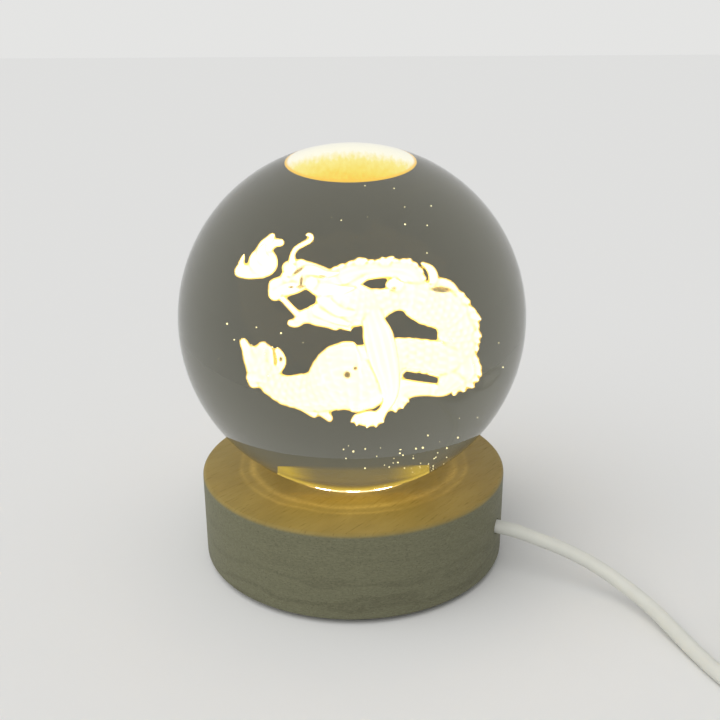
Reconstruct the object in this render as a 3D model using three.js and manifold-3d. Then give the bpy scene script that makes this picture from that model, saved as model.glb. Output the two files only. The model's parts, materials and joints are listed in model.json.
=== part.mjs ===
// Crystal ball lamp: a clear glass ball with a dragon and its pearl engraved inside,
// standing in the well of a turned wooden base that lights it from below.
// Millimetres, +Z up. The origin is on the table under the middle of the base.
// The engraved figure faces -Y, and the cord leaves the base at the right, turned a little to the front.
import * as THREE from "three";
import { mergeVertices } from "three/addons/utils/BufferGeometryUtils.js";
import Module from "manifold-3d";

const wasm = await Module();
wasm.setup();

// Clearances and shared fits
const clearance = 0.3;
const overrun = 1;

// Glass ball
const ballDiameter = 80;
const ballSidesAround = 40;
const ballSidesUp = 20;
const seatCircleDiameter = 34;
const ventDiameter = 0.8;

// Wooden base
const baseDiameter = 73.3;
const baseHeight = 21.1;
const baseEdgeRound = 0.9;
const baseSides = 48;
const baseRoundSteps = 2;
const holeSides = 16;
const wellDiameter = 33;
const deckThickness = 7.3;
const pocketDiameter = 50;

// Bottom cover and feet
const coverLap = 7;
const coverThickness = 2;
const footDiameter = 9;
const footThickness = 1.5;
const footRecessDepth = 0.5;
const footEdgeChamfer = 0.4;
const footInset = 6;
const footCount = 4;
const footSides = 16;

// Light board
const boardThickness = 1.2;
const ledCount = 6;
const ledInset = 8;
const ledLength = 3.5;
const ledWidth = 2.8;
const ledHeight = 1.9;
const ledCornerCut = 0.5;
const ledDishDiameter = 2.3;
const ledDishDepth = 0.4;
const ledDishSides = 10;
const resistorCount = 2;
const resistorInset = 3.5;
const resistorLength = 2;
const resistorWidth = 1.25;
const resistorHeight = 0.6;
const resistorEndLength = 0.35;
const resistorEndStep = 0.08;

// Screws: the board's have pan heads, the cover's are countersunk
const screwCount = 3;
const screwSides = 8;
const panCrownShare = 0.7;
const boardScrew = { headDiameter: 3.6, headHeight: 1.1, shankDiameter: 1.6, screwLength: 6, pointLength: 1.2 };
const boardScrewInset = 2.6;
const coverScrew = { headDiameter: 4.4, headHeight: 1.2, shankDiameter: 2, screwLength: 9, pointLength: 1.5 };
const coverScrewInset = 3.3;
const slotWidth = 0.6;
const slotDepth = 0.5;
const slotMargin = 0.5;

// Supply cord, its hole and what holds it inside
const cordDiameter = 3.2;
const cordSides = 8;
const cordExitHeight = 10.4;
const cordExitAngle = -23;
const leadInnerRadius = 13.5;
const wireDiameter = 1.1;
const wireSpacing = 1.4;
const wireSides = 6;
const wireSteps = 10;
const padRadius = 7.2;
const padSpread = 2.4;
const solderDiameter = 2;
const solderHeight = 0.7;
const solderSides = 10;
const tieBandWidth = 2.4;
const tieBandThickness = 0.9;
const tieHeadLength = 4;
const tieHeadHeight = 3;
const tieWallGap = 0.5;

// Cord outside: its route from the hole to the coil. The first two numbers of a point run from the
// hole's mouth, towards +X and +Y, and the third is the height above the table.
const cordRoute = [
  [4.6, -1.95, 11.1],
  [9.5, -4.1, 10.1],
  [13.9, -6.0, 9.1],
  [18.1, -7.9, 7.8],
  [22.0, -10.6, 6.5],
  [25.7, -14.1, 5.1],
  [30.6, -20.5, 3.2],
  [34.2, -29.3, 2.0],
  [36.3, -35.4, 1.6],
  [38.4, -41.3, 1.6],
  [41.4, -47.5, 1.6],
  [45.3, -53.3, 1.9],
];
const cordRouteSteps = 26;

// Cord coil, put away just past the lamp's right: four layers that spiral in, out, in and out
const coilPlace = [66.9, -41.8];
const coilStartAngle = 240;
const coilEndAngle = 350;
const coilFullTurns = 9;
const coilLayers = 4;
const coilMidRadius = 17.2;
const coilGap = 0.5;
const coilClimbTurns = 0.25;
const coilStepsPerTurn = 24;
const coilCheckSteps = 96;
const coilSides = 6;
const coilTieAngle = 115;
const coilTieWidth = 3;
const coilTieThickness = 0.6;
const coilTieCorner = 2.4;
const coilTieTwistLength = 4.5;
const coilTieTwistSpread = 1.5;
const coilTieTwistDiameter = 1.2;
const coilTieCornerSteps = 3;

// In-line switch
const tailToSwitch = 25;
const switchLength = 33;
const switchWidth = 13;
const switchHeight = 9.6;
const switchSplitHeight = 4.6;
const switchCornerRadius = 4.2;
const switchEdgeBevel = 1;
const switchCornerSteps = 4;
const switchFloor = 1.4;
const switchPocketLength = 11.6;
const rockerLength = 10;
const rockerWidth = 6.4;
const rockerDepth = 1.4;
const rockerCrown = 3.4;
const rockerDip = 1;
const rockerFoot = 6.4;
const rockerPivotDrop = 2.2;
const rockerPinDiameter = 1.6;
const rockerPinReach = 0.9;
const rockerPinSides = 12;
const rockerDipSteps = 6;
const rockerTilt = 7;
const contactLength = 3.4;
const contactWidth = 3;
const contactThickness = 0.4;
const contactBumpDiameter = 1.4;
const contactBumpHeight = 0.5;
const contactBumpSides = 8;
const contactSpread = 7.2;
const switchScrew = { headDiameter: 3, headHeight: 1, shankDiameter: 1.4, screwLength: 6, pointLength: 0.9 };
const switchScrewSpread = 21;
const switchScrewSink = 1.4;

// Tail between the switch and the plug: straight, then a half turn back, then straight
const tailStraight = 12;
const tailTurnRadius = 10.5;
const tailLast = 3;
const tailArcSteps = 6;
const tailOneSteps = 8;
const tailTwoSteps = 22;

// Plug
const reliefLength = 7;
const reliefDiameter = 6;
const reliefTipDiameter = 4.6;
const reliefRibs = 3;
const reliefRibDepth = 0.5;
const reliefRibShare = 0.6;
const reliefSides = 10;
const plugLength = 22;
const plugWidth = 15.4;
const plugHeight = 7.8;
const plugCorner = 2;
const plugBevel = 0.8;
const plugCornerSteps = 2;
const gripCount = 4;
const gripWidth = 0.8;
const gripDepth = 0.5;
const gripPitch = 2.2;
const gripStart = 4;
const shellWidth = 12;
const shellHeight = 4.5;
const shellWall = 0.3;
const shellReach = 12;
const shellInset = 2;
const shellHoleSize = 2.2;
const shellHoleSpread = 4.8;
const shellHoleFromTip = 5.6;
const tongueThickness = 1.8;
const tongueBlockLength = 3;
const tongueShortfall = 0.6;
const contactPitch = 2.3;
const pinCount = 4;
const pinWidth = 1;
const pinThickness = 0.25;
const pinLength = 7.4;
const pinSetback = 1.2;

// Engraved figure: drawn on a grid of cells that share out its width, measured from the ball's centre.
// A station is [right, back, up, radius] in cells.
const figureWidth = 39;
const figureCells = 39;
const cell = figureWidth / figureCells;
const figureSides = 7;
const limbSides = 5;
const spikeSides = 3;
const beadSides = 6;
const pearlSides = 10;

const bodyShares = [
  [-5.2, -1.6, 4.2, 3.0],
  [-1.2, -2.0, 3.9, 3.5],
  [3.2, -1.2, 2.9, 2.6],
  [8.0, 0.6, 4.6, 3.2],
  [12.7, 2.6, 3.0, 3.9],
  [16.0, 3.6, -0.5, 3.6],
  [16.6, 3.0, -4.8, 3.1],
  [14.4, 1.4, -7.0, 2.7],
  [10.0, 0.2, -6.3, 2.6],
  [5.6, -1.0, -7.2, 3.7],
  [0.8, -2.0, -9.1, 5.2],
  [-4.6, -1.4, -9.9, 4.7],
  [-9.4, -0.4, -11.2, 2.5],
  [-12.9, 0.6, -9.7, 2.1],
  [-14.7, 1.0, -7.4, 1.5],
  [-14.9, 1.0, -5.2, 0.8],
];
const bodySteps = 28;

const maneShares = [
  [
    [-5.6, -1.8, 6.4, 2.4],
    [-1.2, -1.2, 7.4, 1.7],
    [3.2, -0.6, 8.2, 1.3],
    [7.4, 0.2, 8.3, 0.9],
    [10.2, 0.6, 8.0, 0.3],
  ],
  [
    [12.8, 2.4, 5.4, 1.6],
    [13.2, 2.0, 7.4, 1.1],
    [10.9, 1.6, 9.4, 0.3],
  ],
  [
    [-5.6, -3.8, 3.4, 1.1],
    [-2.4, -4.9, 2.0, 0.8],
    [0.4, -5.2, 1.9, 0.2],
  ],
  [
    [-5.6, -3.8, 5.6, 1.1],
    [-2.2, -5.0, 5.6, 0.8],
    [1.0, -5.0, 6.4, 0.2],
  ],
  [
    [-5.6, 1.0, 5.2, 1.1],
    [-2.2, 2.0, 5.6, 0.8],
    [1.0, 2.2, 6.0, 0.2],
  ],
];

const headShares = [
  [
    [-5.4, -1.9, 5.2, 3.0],
    [-8.2, -2.0, 6.3, 3.0],
    [-10.4, -2.0, 5.9, 2.0],
    [-12.0, -2.0, 5.0, 1.3],
    [-12.2, -2.0, 3.7, 0.9],
  ],
  [
    [-4.6, -1.9, 1.6, 1.9],
    [-7.0, -2.0, 0.0, 1.0],
    [-9.9, -2.0, -0.7, 0.5],
  ],
  [
    [-5.2, -1.8, 1.0, 1.7],
    [-1.6, -1.9, 0.0, 1.6],
    [2.6, -1.6, -0.4, 1.3],
  ],
  [
    [-7.4, -2.0, 0.2, 0.7],
    [-9.0, -2.0, 1.2, 0.4],
    [-10.9, -2.0, 3.3, 0.3],
  ],
  [
    [-9.5, -2.6, 8.2, 0.7],
    [-9.4, -2.6, 11.2, 0.4],
    [-7.4, -2.6, 12.8, 0.4],
    [-6.2, -2.6, 13.5, 0.35],
    [-6.5, -2.6, 14.5, 0.25],
  ],
  [
    [-7.6, -3.6, 8.2, 0.8],
    [-4.6, -4.4, 8.8, 0.6],
    [-2.0, -4.8, 9.6, 0.2],
  ],
  [
    [-7.6, -0.4, 8.2, 0.8],
    [-4.6, 0.6, 8.8, 0.6],
    [-2.0, 1.0, 9.6, 0.2],
  ],
];
// The brows, and the cheek that closes the corner of the mouth
const beadShares = [
  [-9.9, -3.5, 7.7, 0.9],
  [-9.9, -0.5, 7.7, 0.9],
  [-4.9, -2.4, 3.0, 1.5],
];

const legShares = [
  [
    [3.9, -2.2, 1.0, 2.4],
    [4.0, -4.8, -3.0, 2.4],
    [4.4, -6.9, -8.2, 1.6],
    [2.9, -6.8, -12.4, 1.4],
    [2.2, -5.8, -15.6, 1.7],
  ],
  [
    [15.2, 2.0, -8.0, 2.2],
    [12.4, 0.2, -10.8, 1.5],
    [9.2, -1.6, -11.0, 1.5],
    [6.4, -2.4, -12.7, 2.1],
  ],
  [
    [4.4, -0.8, -9.0, 2.8],
    [5.0, -2.0, -11.6, 2.4],
    [5.6, -2.4, -13.2, 2.0],
  ],
  [
    [-0.6, 0.6, -10.6, 1.8],
    [-2.8, 1.2, -13.0, 1.3],
    [-4.0, 1.0, -14.0, 1.1],
  ],
  [
    [16.4, 3.4, -6.8, 3.1],
    [16.9, 3.8, -9.6, 2.3],
  ],
];
// A claw is [right, back, up] at its root, the same at its tip, and its radius.
const clawShares = [
  [2.2, -5.7, -15.2, -0.2, -6.4, -16.6, 0.6],
  [2.2, -5.7, -15.2, 1.4, -6.8, -17.2, 0.6],
  [2.2, -5.7, -15.2, 3.4, -6.8, -17.2, 0.6],
  [2.2, -5.7, -15.2, 4.7, -6.2, -16.4, 0.6],
  [7.0, -2.4, -12.8, 5.3, -3.2, -15.4, 0.6],
  [7.0, -2.4, -12.8, 7.1, -3.4, -15.3, 0.6],
  [7.0, -2.4, -12.8, 8.9, -3.2, -14.0, 0.6],
  [-4.0, 1.0, -14.0, -3.4, 0.6, -16.1, 0.6],
  [-4.0, 1.0, -14.0, -5.9, 0.6, -15.7, 0.6],
  [-4.0, 1.0, -14.0, -7.6, 0.8, -14.8, 0.6],
  [16.9, 3.8, -9.6, 19.3, 3.4, -11.0, 0.9],
  [16.9, 3.8, -9.6, 17.0, 3.2, -12.4, 0.9],
  [16.9, 3.8, -9.6, 14.6, 3.2, -12.2, 0.9],
  [12.4, 0.2, -10.8, 12.0, -0.4, -12.6, 0.6],
  [-5.0, -1.8, 0.6, -6.2, -2.0, -2.0, 0.6],
  [-3.0, -1.8, 0.2, -3.4, -2.0, -2.2, 0.6],
  [-0.8, -1.8, 0.0, -0.4, -2.0, -2.0, 0.6],
];
const tailTuftShares = [
  [
    [-14.2, 1.0, -8.4, 1.6],
    [-15.9, 0.8, -5.6, 0.9],
    [-17.1, 0.6, -3.1, 0.2],
  ],
  [
    [-14.4, 1.0, -8.0, 1.5],
    [-14.8, 1.0, -5.8, 1.3],
    [-14.0, 0.8, -3.5, 0.2],
  ],
  [
    [-13.6, 1.0, -8.6, 1.4],
    [-12.5, 1.0, -6.2, 1.2],
    [-11.3, 0.8, -4.0, 0.2],
  ],
  [
    [-12.2, 0.8, -6.8, 0.9],
    [-10.8, 0.6, -6.4, 0.5],
    [-10.0, 0.6, -5.2, 0.2],
  ],
];

// The back's crest: spikes at these shares of the body's run, standing out from its outer side.
const crestCount = 17;
const crestStartShare = 0.27;
const crestEndShare = 0.62;
const crestReachShare = 0.95;
const crestRadiusShare = 0.6;
const crestLeanShare = 0.25;
const crestRootShare = 0.75;
const crestMiddleShares = [8, 0, -3];
const maneCrestCount = 6;
const maneCrestEndShare = 0.86;

const pearlShares = [-14.1, -2.0, 9.2, 2.6];
const flameShares = [
  [
    [-14.9, -2.0, 10.0, 2.0],
    [-14.2, -2.0, 12.4, 1.1],
    [-12.6, -2.0, 14.5, 0.2],
  ],
  [
    [-13.2, -2.0, 10.8, 1.2],
    [-12.4, -2.0, 12.2, 0.8],
    [-10.9, -2.0, 13.1, 0.2],
  ],
  [
    [-15.0, -2.0, 8.8, 1.9],
    [-16.6, -2.0, 9.0, 1.3],
    [-17.4, -2.0, 10.9, 0.2],
  ],
  [
    [-14.2, -2.0, 8.2, 2.0],
    [-16.8, -2.0, 8.0, 1.4],
    [-18.7, -2.0, 9.0, 0.2],
  ],
];

// Places worked out from the sizes above
const ballRadius = ballDiameter / 2;
const baseRadius = baseDiameter / 2;
const seatCircleRadius = seatCircleDiameter / 2;
const wellRadius = wellDiameter / 2;
const pocketRadius = pocketDiameter / 2;
const cordRadius = cordDiameter / 2;
const standHeight = footThickness - footRecessDepth;
const ledgeHeight = baseHeight - deckThickness;
const boardBottom = ledgeHeight - boardThickness;
const ballCentreHeight = standHeight + baseHeight + Math.sqrt(ballRadius ** 2 - seatCircleRadius ** 2);
const coverRadius = pocketRadius + coverLap;
const coverRecessRadius = coverRadius + clearance;
const boardRadius = pocketRadius - tieWallGap - tieBandWidth - clearance;
const boardScrewRadius = boardRadius - boardScrewInset;
const coverScrewRadius = coverRadius - coverScrewInset;
const footCircleRadius = coverRadius - footInset;
const ledCircleRadius = wellRadius - ledInset;
const resistorCircleRadius = wellRadius - resistorInset;
const exitTurn = THREE.MathUtils.degToRad(cordExitAngle);

// Finishes
const finishes = {
  glass: { color: 0xdfe8ea, roughness: 0.02, metalness: 0, transparent: true, opacity: 0.35 },
  engraving: { color: 0xfff6e2, roughness: 0.6, metalness: 0, emissive: 0xffe9c4 },
  wood: { color: 0xc9b79a, roughness: 0.65, metalness: 0 },
  boardWhite: { color: 0xeeeeea, roughness: 0.5, metalness: 0 },
  led: { color: 0xfff2c8, roughness: 0.35, metalness: 0, emissive: 0xffd98a },
  resistor: { color: 0x22211f, roughness: 0.5, metalness: 0 },
  steel: { color: 0xb9bbbd, roughness: 0.35, metalness: 1 },
  brass: { color: 0xc8a558, roughness: 0.35, metalness: 1 },
  cover: { color: 0x1d1d1e, roughness: 0.6, metalness: 0 },
  rubber: { color: 0x262626, roughness: 0.8, metalness: 0 },
  cord: { color: 0xeceae4, roughness: 0.45, metalness: 0 },
  redWire: { color: 0xb3201c, roughness: 0.5, metalness: 0 },
  blackWire: { color: 0x161616, roughness: 0.5, metalness: 0 },
  nylon: { color: 0xe9e7df, roughness: 0.5, metalness: 0 },
  whitePlastic: { color: 0xf0efea, roughness: 0.4, metalness: 0 },
  tongue: { color: 0xf4f4f2, roughness: 0.5, metalness: 0 },
};

// Solids

// Turns a geometry into a solid: shared corners are merged, flat slivers dropped, faces turned outwards.
function solidFrom(geometry) {
  const bare = geometry.clone();
  for (const name of Object.keys(bare.attributes)) {
    if (name !== "position") bare.deleteAttribute(name);
  }
  const merged = mergeVertices(bare);
  const places = merged.attributes.position;
  const index = merged.index.array;
  const corner = (i) => new THREE.Vector3().fromBufferAttribute(places, i);
  const faces = [];
  let volume = 0;
  for (let i = 0; i < index.length; i += 3) {
    const [a, b, c] = [index[i], index[i + 1], index[i + 2]];
    if (a === b || b === c || c === a) continue;
    faces.push([a, b, c]);
    volume += corner(a).dot(corner(b).cross(corner(c)));
  }
  const wound = volume < 0 ? faces.map(([a, b, c]) => [a, c, b]) : faces;
  const mesh = new wasm.Mesh({
    numProp: 3,
    vertProperties: Float32Array.from(places.array),
    triVerts: Uint32Array.from(wound.flat()),
  });
  return new wasm.Manifold(mesh);
}

function geometryOf(solid) {
  const mesh = solid.getMesh();
  const geometry = new THREE.BufferGeometry();
  geometry.setAttribute("position", new THREE.BufferAttribute(Float32Array.from(mesh.vertProperties), 3));
  geometry.setIndex(new THREE.BufferAttribute(Uint32Array.from(mesh.triVerts), 1));
  geometry.computeVertexNormals();
  return geometry;
}

const joined = (solids) => solids.reduce((whole, next) => whole.add(next));
const cutBy = (body, tools) => tools.reduce((left, tool) => left.subtract(tool), body);

function piece(name, solid, finish) {
  const mesh = new THREE.Mesh(geometryOf(solid), new THREE.MeshStandardMaterial(finishes[finish]));
  mesh.name = name;
  return mesh;
}

// A profile of [radius, height] points, turned about Z. It starts and ends on the axis, or is closed.
function turned(profile, sides) {
  const points = profile.map(([radius, height]) => new THREE.Vector2(radius, height));
  if (profile[0][0] > 0) points.push(points[0].clone());
  return solidFrom(new THREE.LatheGeometry(points, sides).rotateX(Math.PI / 2));
}

function disc(radius, low, high, sides) {
  return turned([[0, low], [radius, low], [radius, high], [0, high]], sides);
}

function block(low, high) {
  const size = high.map((value, axis) => value - low[axis]);
  const middle = high.map((value, axis) => (value + low[axis]) / 2);
  return solidFrom(new THREE.BoxGeometry(...size).translate(...middle));
}

// A round bar along X
function barX(radius, from, to, y, z, sides) {
  const bar = new THREE.CylinderGeometry(radius, radius, to - from, sides).rotateZ(Math.PI / 2);
  return solidFrom(bar.translate((from + to) / 2, y, z));
}

// A round bar along Y, through x and z
function barY(radius, from, to, x, z, sides) {
  const bar = new THREE.CylinderGeometry(radius, radius, to - from, sides);
  return solidFrom(bar.translate(x, (from + to) / 2, z));
}

function atAngle(solid, degrees, radius = 0, height = 0) {
  const turn = THREE.MathUtils.degToRad(degrees);
  const place = new THREE.Matrix4().makeRotationZ(turn);
  place.multiply(new THREE.Matrix4().makeTranslation(radius, 0, height));
  return solidFrom(geometryOf(solid).applyMatrix4(place));
}

function roundedOutline(length, width, corner) {
  const [x, y] = [length / 2, width / 2];
  const outline = new THREE.Shape();
  outline.moveTo(-x + corner, -y);
  outline.lineTo(x - corner, -y);
  outline.absarc(x - corner, -y + corner, corner, -Math.PI / 2, 0);
  outline.lineTo(x, y - corner);
  outline.absarc(x - corner, y - corner, corner, 0, Math.PI / 2);
  outline.lineTo(-x + corner, y);
  outline.absarc(-x + corner, y - corner, corner, Math.PI / 2, Math.PI);
  outline.lineTo(-x, -y + corner);
  outline.absarc(-x + corner, -y + corner, corner, Math.PI, Math.PI * 1.5);
  return outline;
}

// A bar with a rounded outline and bevelled ends, standing on z = 0
function roundedBar(length, width, height, corner, bevel) {
  const outline = roundedOutline(length - 2 * bevel, width - 2 * bevel, corner - bevel);
  const settings = {
    depth: height - 2 * bevel,
    bevelEnabled: true,
    bevelThickness: bevel,
    bevelSize: bevel,
    bevelSegments: 1,
    curveSegments: switchCornerSteps,
  };
  return solidFrom(new THREE.ExtrudeGeometry(outline, settings).translate(0, 0, bevel));
}

function circleShape(radius, sides) {
  const shape = new THREE.Shape();
  for (let i = 0; i < sides; i += 1) {
    const turn = ((i + 0.5) / sides) * 2 * Math.PI;
    const place = [radius * Math.cos(turn), radius * Math.sin(turn)];
    if (i === 0) shape.moveTo(...place);
    else shape.lineTo(...place);
  }
  return shape;
}

function tubeAlong(curve, radius, steps, sides) {
  const settings = { steps, extrudePath: curve, bevelEnabled: false };
  return solidFrom(new THREE.ExtrudeGeometry(circleShape(radius, sides), settings));
}

// Rings of points, joined one to the next and closed at both ends
function loft(rings) {
  const sides = rings[0].length;
  const places = rings.flat().flatMap((point) => point.toArray());
  const index = [];
  for (let i = 0; i + 1 < rings.length; i += 1) {
    for (let j = 0; j < sides; j += 1) {
      const [a, b] = [i * sides + j, i * sides + ((j + 1) % sides)];
      index.push(a, b, b + sides, a, b + sides, a + sides);
    }
  }
  const last = (rings.length - 1) * sides;
  for (let j = 1; j + 1 < sides; j += 1) {
    index.push(0, j + 1, j);
    index.push(last, last + j, last + j + 1);
  }
  const geometry = new THREE.BufferGeometry();
  geometry.setAttribute("position", new THREE.Float32BufferAttribute(places, 3));
  geometry.setIndex(index);
  return solidFrom(geometry);
}

// Engraved figure. Each form can be grown all over, which gives the space that it fills in the glass.

// A smooth tapering tube through its stations
function limb(stations, steps, sides, grow) {
  const centres = stations.map(([x, y, z]) => new THREE.Vector3(x, y, z).multiplyScalar(cell));
  const curve = new THREE.CatmullRomCurve3(centres);
  const frames = curve.computeFrenetFrames(steps, false);
  const rings = [];
  for (let i = 0; i <= steps; i += 1) {
    const along = curve.getUtoTmapping(i / steps) * (stations.length - 1);
    const before = Math.min(Math.floor(along), stations.length - 2);
    const share = THREE.MathUtils.lerp(stations[before][3], stations[before + 1][3], along - before);
    const radius = share * cell;
    const centre = curve.getPointAt(i / steps);
    if (i === 0) centre.addScaledVector(frames.tangents[i], -grow);
    if (i === steps) centre.addScaledVector(frames.tangents[i], grow);
    const ring = [];
    for (let j = 0; j < sides; j += 1) {
      const turn = (j / sides) * 2 * Math.PI;
      const reach = radius + grow / Math.cos(Math.PI / sides);
      const point = centre.clone();
      point.addScaledVector(frames.normals[i], reach * Math.cos(turn));
      point.addScaledVector(frames.binormals[i], reach * Math.sin(turn));
      ring.push(point);
    }
    rings.push(ring);
  }
  return loft(rings);
}

function bead([x, y, z, radius], sides, grow) {
  const sphere = new THREE.SphereGeometry(radius * cell + grow, sides, sides / 2);
  return solidFrom(sphere.rotateX(Math.PI / 2).translate(x * cell, y * cell, z * cell));
}

// A spike from its root to its tip. Grown, its sides move out and its point goes further.
function spike(root, tip, radius, grow) {
  const run = tip.clone().sub(root);
  const length = run.length();
  const halfAngle = Math.atan2(radius, length);
  const wide = radius + grow / (Math.cos(halfAngle) * Math.cos(Math.PI / spikeSides));
  const long = length + grow / Math.sin(halfAngle);
  const cone = new THREE.ConeGeometry(wide, long, spikeSides).translate(0, long / 2, 0);
  const turn = new THREE.Quaternion().setFromUnitVectors(new THREE.Vector3(0, 1, 0), run.normalize());
  return solidFrom(cone.applyQuaternion(turn).translate(...root.toArray()));
}

function claw([rx, ry, rz, tx, ty, tz, radius], grow) {
  const root = new THREE.Vector3(rx, ry, rz).multiplyScalar(cell);
  const tip = new THREE.Vector3(tx, ty, tz).multiplyScalar(cell);
  return spike(root, tip, radius * cell, grow);
}

// Spikes along a row of stations, on the side that faces away from the figure's middle
function crest(stations, count, startShare, endShare, grow) {
  const curve = new THREE.CatmullRomCurve3(stations.map(([x, y, z]) => new THREE.Vector3(x, y, z)));
  const spikes = [];
  for (let i = 0; i < count; i += 1) {
    const share = THREE.MathUtils.lerp(startShare, endShare, i / (count - 1));
    const along = share * (stations.length - 1);
    const before = Math.min(Math.floor(along), stations.length - 2);
    const radius = THREE.MathUtils.lerp(stations[before][3], stations[before + 1][3], along - before);
    const centre = curve.getPoint(share);
    const run = curve.getTangent(share);
    const out = new THREE.Vector3(-run.z, 0, run.x).normalize();
    const middle = new THREE.Vector3(...crestMiddleShares);
    if (out.dot(centre.clone().sub(middle)) < 0) out.negate();
    const lean = out.clone().addScaledVector(run, crestLeanShare).normalize();
    const root = centre.clone().addScaledVector(out, radius * crestRootShare);
    const tip = centre.clone().addScaledVector(lean, radius + crestReachShare);
    spikes.push(spike(root.multiplyScalar(cell), tip.multiplyScalar(cell), crestRadiusShare * cell, grow));
  }
  return spikes;
}

function dragonForm(grow) {
  const forms = [limb(bodyShares, bodySteps, figureSides, grow)];
  const limbs = [...maneShares, ...headShares, ...legShares, ...tailTuftShares];
  for (const stations of limbs) {
    forms.push(limb(stations, stations.length, limbSides, grow));
  }
  for (const shares of beadShares) forms.push(bead(shares, beadSides, grow));
  for (const shares of clawShares) forms.push(claw(shares, grow));
  forms.push(...crest(bodyShares, crestCount, crestStartShare, crestEndShare, grow));
  forms.push(...crest(maneShares[0], maneCrestCount, crestStartShare, maneCrestEndShare, grow));
  return joined(forms);
}

function pearlForm(grow) {
  const forms = [bead(pearlShares, pearlSides, grow)];
  for (const stations of flameShares) forms.push(limb(stations, stations.length, limbSides, grow));
  return joined(forms);
}

// Hairline ways that open the engraved spaces to the ball's underside: one from pearl to head, one down
function ventForms() {
  const pearl = new THREE.Vector3(...pearlShares.slice(0, 3)).multiplyScalar(cell);
  const head = new THREE.Vector3(...headShares[0][1].slice(0, 3)).multiplyScalar(cell);
  const foot = new THREE.Vector3(...legShares[0][4].slice(0, 3)).multiplyScalar(cell);
  const below = new THREE.Vector3(foot.x, foot.y, -ballRadius - overrun);
  return [[pearl, head], [foot, below]].map(([from, to]) =>
    tubeAlong(new THREE.LineCurve3(from, to), ventDiameter / 2, 1, limbSides),
  );
}

function crystalBall() {
  const sphere = new THREE.SphereGeometry(ballRadius, ballSidesAround, ballSidesUp).rotateX(Math.PI / 2);
  return cutBy(solidFrom(sphere), [dragonForm(clearance), pearlForm(clearance), ...ventForms()]);
}

// Base and what it holds. Heights here run from the wood's underside.

// The ball's seat is a cone that lies along the ball at the seat circle, one clearance away from it.
function seatRim() {
  const lean = Math.asin(seatCircleRadius / ballRadius);
  const top = seatCircleRadius + clearance / Math.sin(lean);
  return { topRadius: top, drop: (top - wellRadius) * Math.tan(lean) };
}

function woodBase() {
  const rim = seatRim();
  const edge = [];
  for (let i = 0; i <= baseRoundSteps; i += 1) {
    const turn = (i / baseRoundSteps) * (Math.PI / 2);
    const [inward, up] = [1 - Math.sin(turn), 1 - Math.cos(turn)];
    edge.push([baseRadius - baseEdgeRound * inward, baseEdgeRound * up]);
  }
  const upper = edge.map(([radius, height]) => [radius, baseHeight - height]).reverse();
  const profile = [
    [coverRecessRadius, 0],
    ...edge,
    ...upper,
    [rim.topRadius, baseHeight],
    [wellRadius, baseHeight - rim.drop],
    [wellRadius, ledgeHeight],
    [pocketRadius, ledgeHeight],
    [pocketRadius, coverThickness],
    [coverRecessRadius, coverThickness],
  ];
  const [from, to] = [pocketRadius - overrun, baseRadius + overrun];
  const hole = barX(cordRadius + clearance, from, to, 0, cordExitHeight, holeSides);
  const boardPilot = pilot(boardScrew, boardThickness, ledgeHeight);
  const coverPilot = pilot(coverScrew, coverThickness, coverThickness);
  const holes = [atAngle(hole, cordExitAngle)];
  for (const degrees of screwAngles()) {
    holes.push(atAngle(boardPilot, degrees, boardScrewRadius));
    holes.push(atAngle(coverPilot, degrees + coverScrewTurn, coverScrewRadius));
  }
  return cutBy(turned(profile, baseSides), holes);
}

// The board's screws start 60 degrees from the cord, and the cover's stand between the feet.
const boardScrewTurn = 60;
const coverScrewTurn = -15;

function screwAngles() {
  const first = cordExitAngle + boardScrewTurn;
  return Array.from({ length: screwCount }, (_, i) => first + (360 / screwCount) * i);
}

// The hole in the wood for the part of a screw that is past the sheet it holds
function pilot(screw, sheet, from) {
  const depth = screw.screwLength - sheet + clearance;
  return disc(screw.shankDiameter / 2 + clearance, from - overrun, from + depth, screwSides);
}

// A screw that points up, its head's seat at z = 0. A countersunk head lies above that, a pan head below.
function screwSolid(screw, countersunk) {
  const [head, shank] = [screw.headDiameter / 2, screw.shankDiameter / 2];
  const low = countersunk ? 0 : -screw.headHeight;
  const profile = countersunk
    ? [[0, 0], [head, 0], [shank, screw.headHeight]]
    : [[0, low], [head * panCrownShare, low], [head, low / 2], [head, 0], [shank, 0]];
  profile.push([shank, screw.screwLength - screw.pointLength], [0, screw.screwLength]);
  const reach = head - slotMargin;
  const slots = [
    block([-reach, -slotWidth / 2, low - overrun], [reach, slotWidth / 2, low + slotDepth]),
    block([-slotWidth / 2, -reach, low - overrun], [slotWidth / 2, reach, low + slotDepth]),
  ];
  return cutBy(turned(profile, screwSides), slots);
}

function bottomCover() {
  const rim = baseEdgeRound / 2;
  const profile = [[0, 0], [coverRadius - rim, 0], [coverRadius, rim]];
  profile.push([coverRadius, coverThickness], [0, coverThickness]);
  const tools = [];
  const head = coverScrew.headDiameter / 2 + clearance;
  const shank = coverScrew.shankDiameter / 2 + clearance;
  const sink = [[0, -overrun], [head, -overrun], [head, 0], [shank, coverScrew.headHeight]];
  sink.push([shank, coverThickness + overrun], [0, coverThickness + overrun]);
  for (const degrees of screwAngles()) {
    tools.push(atAngle(turned(sink, screwSides), degrees + coverScrewTurn, coverScrewRadius));
  }
  const recess = disc(footDiameter / 2 + clearance, -overrun, footRecessDepth, footSides);
  for (const degrees of footAngles()) tools.push(atAngle(recess, degrees, footCircleRadius));
  return cutBy(turned(profile, baseSides), tools);
}

function footAngles() {
  return Array.from({ length: footCount }, (_, i) => cordExitAngle + (360 / footCount) * i);
}

function foot() {
  const radius = footDiameter / 2;
  const profile = [
    [0, 0],
    [radius - footEdgeChamfer, 0],
    [radius, footEdgeChamfer],
    [radius, footThickness],
    [0, footThickness],
  ];
  return turned(profile, footSides);
}

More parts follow.
